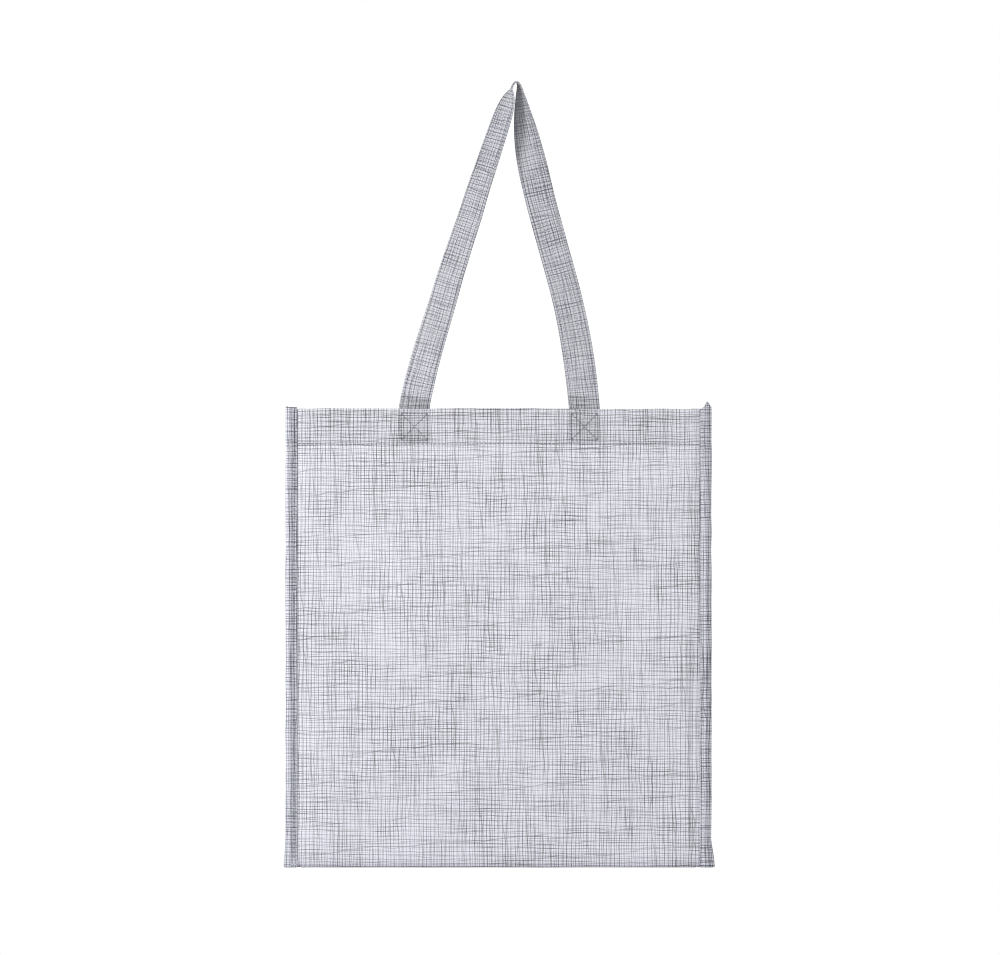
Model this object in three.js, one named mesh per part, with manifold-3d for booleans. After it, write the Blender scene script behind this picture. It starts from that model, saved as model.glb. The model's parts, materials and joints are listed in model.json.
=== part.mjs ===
// A printed non-woven shopping tote: body cloth, two creased side gussets, bound side seams,
// a stitched hem at the mouth and two sewn strap handles.
// Millimetres, +Z up. The origin is on the ground under the middle of the bag, the front faces -Y
// and the bag stands open with both handles up.
import * as THREE from "three";
import { mergeVertices } from "three/addons/utils/BufferGeometryUtils.js";
import Module from "manifold-3d";

const wasm = await Module();
wasm.setup();

// ---- driving sizes -------------------------------------------------------------------------
const BODY_WIDTH = 325; // between the outer faces of the two gussets
const BODY_DEPTH = 200; // between the outer faces of the front and back panels
const BODY_HEIGHT = 370; // ground to the folded top edge of the hem
const CLOTH = 0.6; // one layer of cloth
const HEM_DEPTH = 30; // how far the top edge is folded down inside
const SEAM_FIN = 8.5; // how far the seam edges stand out sideways inside the binding
const BINDING_RISE = 1.5; // the binding ends this far above the hem
const STRAP_WIDTH = 25;
const STRAP_THICKNESS = 1.2; // folded cloth, edge stitched
const HANDLE_SPACING = 136; // between the middles of one handle's two tails
const HANDLE_DROP = 264; // hem to the inside of the top bend
const HANDLE_LEAN = 13.4; // the top bend sits this far to the right of the middle
const HANDLE_TOP_GAP = 7.7; // between the two legs where the top bend begins
const HANDLE_BEND_START = 8; // the top bend begins this far below the top
const TAIL_LENGTH = 28; // part of the strap sewn behind the hem
const ROOT_LIFT = 1.2; // the free strap starts this far above the hem
const THREAD_WIDTH = 0.8;
const THREAD_THICKNESS = 0.3;
const CROSS_INSET = 1.5; // boxed cross, in from the strap's edges
const HEM_STITCH_UP = 3; // hem stitching, above the hem's lower edge
const BINDING_STITCH_IN = 1.8; // binding stitching, from the binding's free edge
const CREASE_RELIEF = 8; // gusset hem stitching stops this far from its crease and corners

// ---- named clearances ----------------------------------------------------------------------
const GAP = 0.3; // between neighbouring layers of cloth or thread
const CREASE_GAP = 0.3; // between the two halves of a gusset

// ---- what follows from them ----------------------------------------------------------------
const LAYER = CLOTH + GAP;
const HEM_STACK = LAYER + CLOTH; // sheet, gap and folded hem
const THREAD_LAYER = GAP + THREAD_THICKNESS;
const halfWidth = BODY_WIDTH / 2;
const halfDepth = BODY_DEPTH / 2;
const finFrom = halfWidth + GAP; // seam parts start outside the gusset's outer face
const finTo = halfWidth + SEAM_FIN;
const bindingOut = finTo + GAP + CLOTH;
const panelBottom = CLOTH + GAP; // the front and back panels stand just above the base cloth
const baseSeamTop = 3 * LAYER + CLOTH; // top of the binding along the base edge
const sideSeamBottom = baseSeamTop + THREAD_LAYER + GAP;
const sideSeamTop = BODY_HEIGHT + BINDING_RISE;
const cornerY = halfDepth - HEM_STACK - GAP; // where a gusset turns against a panel
const tailOuterY = cornerY; // outer face of a strap tail, behind the hem
const tailInnerY = tailOuterY - STRAP_THICKNESS;

// ---- finishes ------------------------------------------------------------------------------
const finishes = {
  printedCloth: { color: 0xdde0e6, roughness: 0.72, metalness: 0 },
  binding: { color: 0xb7bcc6, roughness: 0.75, metalness: 0 },
  strap: { color: 0xc9cdd5, roughness: 0.74, metalness: 0 },
  thread: { color: 0x9aa0ab, roughness: 0.6, metalness: 0 },
};

const bag = new THREE.Group();

/** Adds one named mesh to the bag. */
function addMesh(name, geometry, finish, parent = bag) {
  const mesh = new THREE.Mesh(geometry, new THREE.MeshStandardMaterial(finish));
  mesh.name = name;
  parent.add(mesh);
  return mesh;
}

/** A box between two corners, in any order. */
function box([xa, ya, za], [xb, yb, zb]) {
  const geometry = new THREE.BoxGeometry(Math.abs(xb - xa), Math.abs(yb - ya), Math.abs(zb - za));
  geometry.translate((xa + xb) / 2, (ya + yb) / 2, (za + zb) / 2);
  return geometry;
}

/** Turns a closed three.js geometry into a solid for joining. */
function toSolid(geometry) {
  const bare = geometry.clone();
  bare.deleteAttribute("normal");
  bare.deleteAttribute("uv");
  const merged = mergeVertices(bare, 1e-4);
  const vertProperties = new Float32Array(merged.attributes.position.array);
  const triVerts = new Uint32Array(merged.index.array);
  return new wasm.Manifold(new wasm.Mesh({ numProp: 3, vertProperties, triVerts }));
}

/** Joins overlapping closed geometries into one. */
function join(...geometries) {
  const solid = geometries.map(toSolid).reduce((sum, next) => sum.add(next));
  const mesh = solid.getMesh();
  const geometry = new THREE.BufferGeometry();
  geometry.setAttribute("position", new THREE.Float32BufferAttribute(mesh.vertProperties, 3));
  geometry.setIndex(new THREE.Uint32BufferAttribute(mesh.triVerts, 1));
  geometry.computeVertexNormals();
  return geometry;
}

// Front and back are the same cloth turned about: faceSign is -1 in front and +1 behind.
const sides = [
  { name: "left", sign: -1 },
  { name: "right", sign: 1 },
];
const faces = [
  { name: "front", sign: -1 },
  { name: "back", sign: 1 },
];

// ---- body cloth: front panel, back panel, base and its seam fins ----------------------------
for (const face of faces) {
  const y = (inward) => face.sign * (halfDepth - inward);
  const sheet = box([-halfWidth, y(0), panelBottom], [halfWidth, y(CLOTH), BODY_HEIGHT]);
  const fold = box(
    [-halfWidth, y(0), BODY_HEIGHT - CLOTH],
    [halfWidth, y(HEM_STACK), BODY_HEIGHT],
  );
  const hem = box(
    [-halfWidth, y(LAYER), BODY_HEIGHT - HEM_DEPTH],
    [halfWidth, y(HEM_STACK), BODY_HEIGHT],
  );
  addMesh(`${face.name}_panel`, join(sheet, fold, hem), finishes.printedCloth);
  for (const side of sides) {
    addMesh(
      `${face.name}_panel_${side.name}_fin`,
      box(
        [side.sign * finFrom, y(0), sideSeamBottom],
        [side.sign * finTo, y(CLOTH), BODY_HEIGHT],
      ),
      finishes.printedCloth,
    );
  }
}

// The base lies on the ground; its fins lie one layer up, inside the bindings.
const baseEdge = finFrom + CLOTH;
addMesh(
  "base_panel",
  box([-baseEdge, -halfDepth, 0], [baseEdge, halfDepth, CLOTH]),
  finishes.printedCloth,
);
for (const side of sides) {
  addMesh(
    `base_panel_${side.name}_fin`,
    box(
      [side.sign * finFrom, -halfDepth, LAYER],
      [side.sign * finTo, halfDepth, LAYER + CLOTH],
    ),
    finishes.printedCloth,
  );
}

/** A closed outline of [across, up] points swept along Y from y0 to y1. */
function sweepAlongY(points, y0, y1) {
  const shape = new THREE.Shape(points.map(([across, up]) => new THREE.Vector2(across, up)));
  const geometry = new THREE.ExtrudeGeometry(shape, { depth: y1 - y0, bevelEnabled: false });
  geometry.rotateX(Math.PI / 2);
  geometry.translate(0, y1, 0);
  return geometry;
}

// ---- gussets: a rear and a front half on each side, with their seam fins --------------------
for (const side of sides) {
  const x = (inward) => side.sign * (halfWidth - inward);
  for (const face of faces) {
    const yCrease = (face.sign * CREASE_GAP) / 2;
    const yCorner = face.sign * cornerY;
    const sheet = box([x(0), yCrease, panelBottom], [x(CLOTH), yCorner, BODY_HEIGHT]);
    const fold = box(
      [x(0), yCrease, BODY_HEIGHT - CLOTH],
      [x(HEM_STACK), yCorner, BODY_HEIGHT],
    );
    const hem = box(
      [x(LAYER), yCrease, BODY_HEIGHT - HEM_DEPTH],
      [x(HEM_STACK), yCorner, BODY_HEIGHT],
    );
    const half = `${side.name}_gusset_${face.name}`;
    addMesh(half, join(sheet, fold, hem), finishes.printedCloth);

    const xFin = side.sign * finFrom;
    const finEnd = side.sign * finTo;
    const finY = (inward) => face.sign * (halfDepth - LAYER - inward);
    addMesh(
      `${half}_fin`,
      box([xFin, finY(0), sideSeamBottom], [finEnd, finY(CLOTH), BODY_HEIGHT]),
      finishes.printedCloth,
    );

    const stitchX = side.sign * (halfWidth + GAP);
    addMesh(
      `${half}_hem_stitch`,
      box(
        [stitchX, face.sign * CREASE_RELIEF, BODY_HEIGHT - HEM_DEPTH + HEM_STITCH_UP],
        [
          stitchX + side.sign * THREAD_THICKNESS,
          face.sign * (cornerY - CREASE_RELIEF),
          BODY_HEIGHT - HEM_DEPTH + HEM_STITCH_UP + THREAD_WIDTH,
        ],
      ),
      finishes.thread,
    );
  }
  addMesh(
    `${side.name}_gusset_base_fin`,
    box(
      [side.sign * finFrom, -halfDepth, 2 * LAYER],
      [side.sign * finTo, halfDepth, 2 * LAYER + CLOTH],
    ),
    finishes.printedCloth,
  );
}

// ---- bindings: a folded strip over every fin -----------------------------------------------

/**
 * The binding's C section as [outward, through] points. Its first layer lies at a and runs in to
 * mouthA, and its second layer lies at b and runs in to mouthB.
 */
function bindingSection(sign, a, b, mouthA = finFrom, mouthB = finFrom) {
  const outer = sign * bindingOut;
  const inner = sign * (bindingOut - CLOTH);
  const step = Math.sign(b - a) * CLOTH;
  return [
    [sign * mouthA, a],
    [outer, a],
    [outer, b],
    [sign * mouthB, b],
    [sign * mouthB, b - step],
    [inner, b - step],
    [inner, a + step],
    [sign * mouthA, a + step],
  ];
}

/** A closed outline of [x, y] points swept up from z0 to z1. */
function sweepUp(points, z0, z1) {
  const shape = new THREE.Shape(points.map(([px, py]) => new THREE.Vector2(px, py)));
  const geometry = new THREE.ExtrudeGeometry(shape, { depth: z1 - z0, bevelEnabled: false });
  geometry.translate(0, 0, z0);
  return geometry;
}

const bindingProud = LAYER; // the outer layer stands one cloth and one gap in front of the panel
for (const side of sides) {
  for (const face of faces) {
    const outerY = face.sign * (halfDepth + bindingProud);
    const innerY = face.sign * (halfDepth - 2 * LAYER - CLOTH);
    addMesh(
      `${face.name}_${side.name}_binding`,
      sweepUp(bindingSection(side.sign, outerY, innerY), sideSeamBottom, sideSeamTop),
      finishes.binding,
    );
    const stitchX = side.sign * (finFrom + BINDING_STITCH_IN);
    addMesh(
      `${face.name}_${side.name}_binding_stitch`,
      box(
        [stitchX, outerY + face.sign * GAP, sideSeamBottom],
        [stitchX + side.sign * THREAD_WIDTH, outerY + face.sign * THREAD_LAYER, sideSeamTop],
      ),
      finishes.thread,
    );
  }
  addMesh(
    `${side.name}_base_binding`,
    sweepAlongY(
      bindingSection(side.sign, baseSeamTop, 0, finFrom, baseEdge + GAP),
      -halfDepth - bindingProud,
      halfDepth + bindingProud,
    ),
    finishes.binding,
  );
  const stitchX = side.sign * (finFrom + BINDING_STITCH_IN);
  addMesh(
    `${side.name}_base_binding_stitch`,
    box(
      [stitchX, -halfDepth, baseSeamTop + GAP],
      [stitchX + side.sign * THREAD_WIDTH, halfDepth, baseSeamTop + THREAD_LAYER],
    ),
    finishes.thread,
  );
}

// ---- hem stitching, boxed crosses and strap tails ------------------------------------------
const crossHalf = STRAP_WIDTH / 2 - CROSS_INSET;
const crossMiddle = BODY_HEIGHT - TAIL_LENGTH / 2 - GAP;

/** A square outline of thread with both diagonals, in the XZ plane, thickened along Y. */
function boxedCross(middleX, y0, y1) {
  const bar = (length, angle, dx, dz) => {
    const piece = new THREE.BoxGeometry(length, Math.abs(y1 - y0), THREAD_WIDTH);
    piece.rotateY(angle);
    piece.translate(middleX + dx, (y0 + y1) / 2, crossMiddle + dz);
    return piece;
  };
  const edge = 2 * crossHalf + THREAD_WIDTH;
  const diagonal = 2 * Math.SQRT2 * crossHalf;
  return join(
    bar(edge, 0, 0, crossHalf),
    bar(edge, 0, 0, -crossHalf),
    bar(edge, Math.PI / 2, crossHalf, 0),
    bar(edge, Math.PI / 2, -crossHalf, 0),
    bar(diagonal, Math.PI / 4, 0, 0),
    bar(diagonal, -Math.PI / 4, 0, 0),
  );
}

for (const face of faces) {
  const outside = face.sign * (halfDepth + GAP);
  const outsideTo = face.sign * (halfDepth + THREAD_LAYER);
  const stitchZ = BODY_HEIGHT - HEM_DEPTH + HEM_STITCH_UP;
  // The hem stitching runs between the boxed crosses and out to the seams, below their boxes.
  const hemStitchTop = Math.min(stitchZ + THREAD_WIDTH, crossMiddle - crossHalf - GAP - THREAD_WIDTH);
  addMesh(
    `${face.name}_hem_stitch`,
    box(
      [-halfWidth, outside, hemStitchTop - THREAD_WIDTH],
      [halfWidth, outsideTo, hemStitchTop],
    ),
    finishes.thread,
  );
  for (const side of sides) {
    const middle = (side.sign * HANDLE_SPACING) / 2;
    addMesh(
      `${face.name}_${side.name}_handle_tail`,
      box(
        [middle - STRAP_WIDTH / 2, face.sign * tailOuterY, BODY_HEIGHT - TAIL_LENGTH],
        [middle + STRAP_WIDTH / 2, face.sign * tailInnerY, BODY_HEIGHT],
      ),
      finishes.strap,
    );
    addMesh(
      `${face.name}_${side.name}_boxed_cross`,
      boxedCross(middle, outside, outsideTo),
      finishes.thread,
    );
  }
}

// ---- handles -------------------------------------------------------------------------------
// Each leg leaves the hem lying in the panel's plane and turns edge-on before the tight top bend.
const topZ = BODY_HEIGHT + HANDLE_DROP;
const bendZ = topZ - HANDLE_BEND_START;
const rootZ = BODY_HEIGHT + ROOT_LIFT;
const legRise = bendZ - rootZ;
const vector = (x, z) => new THREE.Vector3(x, 0, z);
const leftRoot = vector(-HANDLE_SPACING / 2, rootZ);
const rightRoot = vector(HANDLE_SPACING / 2, rootZ);
const leftBend = vector(HANDLE_LEAN - HANDLE_TOP_GAP / 2, bendZ);
const rightBend = vector(HANDLE_LEAN + HANDLE_TOP_GAP / 2, bendZ);

const handleLine = new THREE.CurvePath();
handleLine.add(
  new THREE.CubicBezierCurve3(
    leftRoot,
    vector(leftRoot.x + 5.5, rootZ + legRise * 0.16),
    vector(leftBend.x - 16.5, rootZ + legRise * 0.82),
    leftBend,
  ),
);
handleLine.add(
  new THREE.CubicBezierCurve3(
    leftBend,
    vector(leftBend.x + 2.6, bendZ + HANDLE_BEND_START * 1.3),
    vector(rightBend.x - 0.4, bendZ + HANDLE_BEND_START * 1.3),
    rightBend,
  ),
);
handleLine.add(
  new THREE.CubicBezierCurve3(
    rightBend,
    vector(rightBend.x + 14.8, rootZ + legRise * 0.55),
    vector(rightRoot.x - 8, rootZ + legRise * 0.43),
    rightRoot,
  ),
);
const handleLength = handleLine.getLength();
const [leftLegLength, bendLength] = handleLine.curves.map((curve) => curve.getLength());

/** The strap's turn about its own line, in radians: 0 flat in the panel's plane, PI/2 edge-on. */
function strapTurn(along) {
  const middle = leftLegLength + bendLength / 2;
  if (along < middle) {
    const share = along / middle;
    return THREE.MathUtils.degToRad(55 * share ** 0.55 + 35 * share ** 8);
  }
  const share = (handleLength - along) / (handleLength - middle);
  return THREE.MathUtils.degToRad(90 * Math.max(0, (share - 0.72) / 0.28));
}

/** A flat strap bent along the handle line, with its own turn at each step. */
function handleStrap(faceSign) {
  const steps = 110;
  const geometry = new THREE.BoxGeometry(STRAP_WIDTH, STRAP_THICKNESS, 1, 2, 1, steps);
  const position = geometry.attributes.position;
  const point = new THREE.Vector3();
  const tangent = new THREE.Vector3();
  const thickY = (faceSign * (tailOuterY + tailInnerY)) / 2;
  for (let i = 0; i < position.count; i += 1) {
    const share = position.getZ(i) + 0.5;
    handleLine.getPointAt(share, point);
    handleLine.getTangentAt(share, tangent);
    const turn = strapTurn(share * handleLength);
    // The strap's width starts level with the hem, lies across its line and turns towards Y.
    const fromRoot = Math.min(share, 1 - share) * handleLength;
    const across = new THREE.Vector3(tangent.z, 0, -tangent.x);
    const level = new THREE.Vector3(Math.sign(tangent.z), 0, 0);
    across.lerp(level, 1 - THREE.MathUtils.smoothstep(fromRoot, 0, STRAP_WIDTH)).normalize();
    const width = across.clone().multiplyScalar(Math.cos(turn));
    const side = share * handleLength < leftLegLength + bendLength / 2 ? -1 : 1;
    width.y = side * Math.sin(turn);
    if (side > 0) {
      width.negate();
    }
    const normal = new THREE.Vector3().crossVectors(tangent, width).normalize();
    point.addScaledVector(width, position.getX(i));
    point.addScaledVector(normal, position.getY(i));
    position.setXYZ(i, point.x, thickY + point.y, point.z);
  }
  return geometry;
}

for (const face of faces) {
  addMesh(`${face.name}_handle`, handleStrap(face.sign), finishes.strap);
}

export default bag;
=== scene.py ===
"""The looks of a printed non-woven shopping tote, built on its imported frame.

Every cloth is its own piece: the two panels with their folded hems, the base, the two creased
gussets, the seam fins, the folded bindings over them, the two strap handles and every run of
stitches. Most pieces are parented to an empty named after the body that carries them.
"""

import json
import logging
import math
from dataclasses import dataclass, field
from enum import Enum
from typing import Sequence

import bmesh
import bpy
import numpy as np
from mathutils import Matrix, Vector


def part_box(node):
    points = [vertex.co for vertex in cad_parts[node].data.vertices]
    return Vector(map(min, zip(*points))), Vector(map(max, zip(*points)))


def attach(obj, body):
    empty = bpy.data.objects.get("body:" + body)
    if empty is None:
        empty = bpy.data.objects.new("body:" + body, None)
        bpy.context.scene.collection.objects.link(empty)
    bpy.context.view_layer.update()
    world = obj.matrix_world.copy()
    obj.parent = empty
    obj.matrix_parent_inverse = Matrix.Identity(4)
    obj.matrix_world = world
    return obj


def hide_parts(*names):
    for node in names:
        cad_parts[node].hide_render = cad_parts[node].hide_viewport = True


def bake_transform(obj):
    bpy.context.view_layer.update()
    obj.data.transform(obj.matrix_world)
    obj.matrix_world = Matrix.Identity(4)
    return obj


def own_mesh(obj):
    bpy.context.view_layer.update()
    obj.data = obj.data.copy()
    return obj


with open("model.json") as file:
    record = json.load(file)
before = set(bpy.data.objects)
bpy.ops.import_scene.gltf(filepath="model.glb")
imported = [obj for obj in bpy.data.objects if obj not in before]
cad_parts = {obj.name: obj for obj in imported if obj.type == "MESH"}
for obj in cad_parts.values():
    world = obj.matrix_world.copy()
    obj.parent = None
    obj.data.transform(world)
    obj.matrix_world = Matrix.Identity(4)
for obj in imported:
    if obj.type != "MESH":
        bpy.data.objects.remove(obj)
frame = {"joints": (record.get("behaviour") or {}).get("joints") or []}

LOG = logging.getLogger("tote")
MM = 0.001
Array = np.ndarray
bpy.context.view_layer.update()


class Face(Enum):
    """The two big faces of the bag, by the sign of Y that they look along."""

    FRONT = -1
    BACK = 1

    @property
    def label(self) -> str:
        """The word that the frame's names use."""
        return self.name.lower()


class Side(Enum):
    """The two gusseted sides, by the sign of X."""

    LEFT = -1
    RIGHT = 1

    @property
    def label(self) -> str:
        """The word that the frame's names use."""
        return self.name.lower()


# ---- sizes ----------------------------------------------------------------------------------


@dataclass(frozen=True)
class Sizes:
    """The bag's sizes in metres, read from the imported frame."""

    half_width: float
    half_depth: float
    height: float
    hem: float
    fin: float
    binding: float
    binding_top: float
    tail_bottom: float
    strap_y: float
    strap_width: float
    handle_top: float
    root_x: float
    root_z: float
    drift: float = 1.2 * MM  # the right tails are sewn on a little further out

    HEM = 30 * MM

    @classmethod
    def read(cls) -> "Sizes":
        """Takes each size from the node that holds it; the hem's depth and the right tails' drift
        are given constants.

        Returns:
            The sizes of this bag.
        """
        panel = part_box("front_panel")[1]
        tail_low, tail_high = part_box("front_right_handle_tail")
        handle_low, handle_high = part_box("front_handle")
        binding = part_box("front_right_binding")[1]
        return cls(
            half_width=panel.x,
            half_depth=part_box("back_panel")[1].y,
            height=panel.z,
            hem=cls.HEM,
            fin=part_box("front_panel_right_fin")[1].x,
            binding=binding.x,
            binding_top=binding.z,
            tail_bottom=tail_low.z,
            strap_y=abs(tail_low.y + tail_high.y) / 2,
            strap_width=tail_high.x - tail_low.x,
            handle_top=handle_high.z,
            root_x=(tail_low.x + tail_high.x) / 2,
            root_z=handle_low.z,
        )


CLOTH_THICKNESS = 0.5 * MM
STRAP_THICKNESS = 1.2 * MM
BINDING_THICKNESS = 0.45 * MM
FIN_THICKNESS = 0.4 * MM
LAP = 0.5 * MM  # half the distance between a cloth and its folded hem


# ---- small numeric helpers ------------------------------------------------------------------


def smooth(low: float, high: float, value: Array) -> Array:
    """A smooth step from 0 at low to 1 at high.

    Args:
        low: Where the step starts.
        high: Where it ends, which may be below low.
        value: The places to look at.

    Returns:
        The step's height at each place.
    """
    share = np.clip((np.asarray(value, float) - low) / (high - low), 0, 1)
    return share * share * (3 - 2 * share)


def hill(value: Array, top: float, width: float) -> Array:
    """A narrow rounded rise, 1 at its top and nearly 0 two widths away.

    Args:
        value: The places to look at.
        top: Where the rise is highest.
        width: How wide it is, to about a third of its height.

    Returns:
        The rise's height at each place.
    """
    return np.exp(-(((value - top) / width) ** 2))


def travelled(line: Array) -> Array:
    """The way along a line to each of its points.

    Args:
        line: Points, one in each row.

    Returns:
        Distances from the first point.
    """
    return np.concatenate([[0], np.cumsum(np.linalg.norm(np.diff(line, axis=0), axis=1))])


class Ripples:
    """A gentle, repeatable unevenness over a cloth, made of a few long waves."""

    STEEPNESS = 0.8  # how much weaker a shorter wave is
    HEIGHT = 0.6  # brings the sum of the waves to about one

    def __init__(self, seed: int, longest: float, shortest: float, waves: int = 14) -> None:
        """Draws the waves.

        Args:
            seed: Fixes the draw.
            longest: The longest wave, in metres.
            shortest: The shortest wave, in metres.
            waves: How many waves are added up.
        """
        rng = np.random.RandomState(seed)
        length = np.exp(rng.uniform(math.log(shortest), math.log(longest), waves))
        angle = rng.uniform(0, 2 * math.pi, waves)
        self.kx = 2 * math.pi / length * np.cos(angle)
        self.ky = 2 * math.pi / length * np.sin(angle)
        self.phase = rng.uniform(0, 2 * math.pi, waves)
        self.size = (length / longest) ** self.STEEPNESS
        self.size /= math.sqrt(float((self.size**2).sum()) / 2)

    def at(self, across: Array, along: Array) -> Array:
        """The unevenness, about -1 to 1.

        Args:
            across: First coordinate on the cloth, in metres.
            along: Second coordinate on the cloth, in metres.

        Returns:
            One height for each place.
        """
        across, along = np.broadcast_arrays(np.asarray(across, float), np.asarray(along, float))
        angle = across[..., None] * self.kx + along[..., None] * self.ky + self.phase
        return (np.sin(angle) * self.size).sum(-1) * self.HEIGHT


# ---- node helpers and finishes --------------------------------------------------------------


def linear(hex_colour: str) -> tuple[float, float, float, float]:
    """Turns an sRGB hex colour into linear RGBA.

    Args:
        hex_colour: Six hex digits, such as "c8ccd4".

    Returns:
        Red, green, blue and alpha for a shader socket.
    """
    channels = [int(hex_colour[i : i + 2], 16) / 255 for i in (0, 2, 4)]
    values = [c / 12.92 if c <= 0.04045 else ((c + 0.055) / 1.055) ** 2.4 for c in channels]
    return (values[0], values[1], values[2], 1.0)


def dimmed(colour: tuple[float, ...], share: float) -> tuple[float, ...]:
    """Darkens a colour.

    Args:
        colour: Linear RGBA.
        share: How much of its light stays.

    Returns:
        Linear RGBA with the same alpha.
    """
    return tuple(share * channel for channel in colour[:3]) + colour[3:]


COLOUR_A, COLOUR_B, COLOUR_OUT = 6, 7, 2  # the colour sockets of a mix node
CLOTH_MAP = "Cloth"  # every cloth carries its own flat coordinates, in metres
LAYERS = "layers_and_shade"  # how many more layers of cloth lie behind a point, with painted shade counted as extra layers


class Nodes:
    """Adds nodes to one tree, each with its settings and links in a single call."""

    def __init__(self, tree: bpy.types.NodeTree) -> None:
        """Keeps the tree.

        Args:
            tree: The node tree to build in.
        """
        self.tree = tree

    def add(self, kind: str, inputs: dict | None = None, **settings: object) -> bpy.types.Node:
        """Adds a node.

        Args:
            kind: The node's type name without its ShaderNode prefix.
            inputs: Socket name or number to a value or to an output socket.
            **settings: The node's own properties.

        Returns:
            The new node.
        """
        node = self.tree.nodes.new("ShaderNode" + kind)
        for key, value in settings.items():
            setattr(node, key, value)
        for key, value in (inputs or {}).items():
            if isinstance(value, bpy.types.NodeSocket):
                self.tree.links.new(value, node.inputs[key])
            else:
                node.inputs[key].default_value = value
        return node

    def math(self, operation: str, *values: object, clamp: bool = False) -> bpy.types.NodeSocket:
        """Adds a maths node.

        Args:
            operation: The operation's name, such as "MULTIPLY".
            *values: Numbers or sockets, in order.
            clamp: Whether the result is kept between 0 and 1.

        Returns:
            The result's socket.
        """
        inputs = dict(enumerate(values))
        return self.add("Math", inputs, operation=operation, use_clamp=clamp).outputs[0]

    def remap(
        self, value: object, low: object, high: object, to_low: object, to_high: object
    ) -> bpy.types.NodeSocket:
        """Maps one range to another with soft ends.

        Args:
            value: The socket to read.
            low: Start of the range that is read.
            high: End of the range that is read.
            to_low: What the start becomes.
            to_high: What the end becomes.

        Returns:
            The result's socket.
        """
        inputs = {
            "Value": value,
            "From Min": low,
            "From Max": high,
            "To Min": to_low,
            "To Max": to_high,
        }
        return self.add("MapRange", inputs, interpolation_type="SMOOTHSTEP").outputs[0]

    def noise(self, vector: object, scale: float, detail: float = 1.0) -> bpy.types.NodeSocket:
        """Adds a noise texture.

        Args:
            vector: The coordinates' socket.
            scale: Noise cells per unit.
            detail: How many finer layers it has.

        Returns:
            The noise value's socket.
        """
        inputs = {"Vector": vector, "Scale": scale, "Detail": detail}
        return self.add("TexNoise", inputs).outputs["Fac"]

    def vector(self, x: object, y: object, z: object) -> bpy.types.NodeSocket:
        """Joins three values into a vector.

        Args:
            x: First value or socket.
            y: Second value or socket.
            z: Third value or socket.

        Returns:
            The vector's socket.
        """
        return self.add("CombineXYZ", {"X": x, "Y": y, "Z": z}).outputs[0]

    def mix(
        self, factor: object, first: object, second: object, blend: str = "MIX"
    ) -> bpy.types.NodeSocket:
        """Mixes two colours.

        Args:
            factor: How much of the second one is used.
            first: Linear RGBA or a socket.
            second: Linear RGBA or a socket.
            blend: The way of mixing, such as "MULTIPLY".

        Returns:
            The mixed colour's socket.
        """
        inputs = {0: factor, COLOUR_A: first, COLOUR_B: second}
        return self.add("Mix", inputs, data_type="RGBA", blend_type=blend).outputs[COLOUR_OUT]


class Finish:
    """A new material with its node helper and its shader, ready to be dressed."""

    def __init__(self, name: str) -> None:
        """Makes the material.

        Args:
            name: What the real material is.
        """
        self.material = bpy.data.materials.new(name)
        self.material.use_nodes = True
        self.tree = self.material.node_tree
        self.nodes = Nodes(self.tree)
        self.inputs = self.tree.nodes["Principled BSDF"].inputs

    def set(self, **values: object) -> None:
        """Fills the shader's sockets.

        Args:
            **values: Socket name, with underscores for spaces, to a value or to a socket.
        """
        for key, value in values.items():
            socket = self.inputs[key.replace("_", " ")]
            if isinstance(value, bpy.types.NodeSocket):
                self.tree.links.new(value, socket)
            else:
                socket.default_value = value

    def bump(self, height: object, strength: float, distance: float) -> None:
        """Raises the surface.

        Args:
            height: The relief's socket.
            strength: How strong it looks.
            distance: Its real height in metres.
        """
        inputs = {"Height": height, "Strength": strength, "Distance": distance}
        self.set(Normal=self.nodes.add("Bump", inputs).outputs[0])


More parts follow.
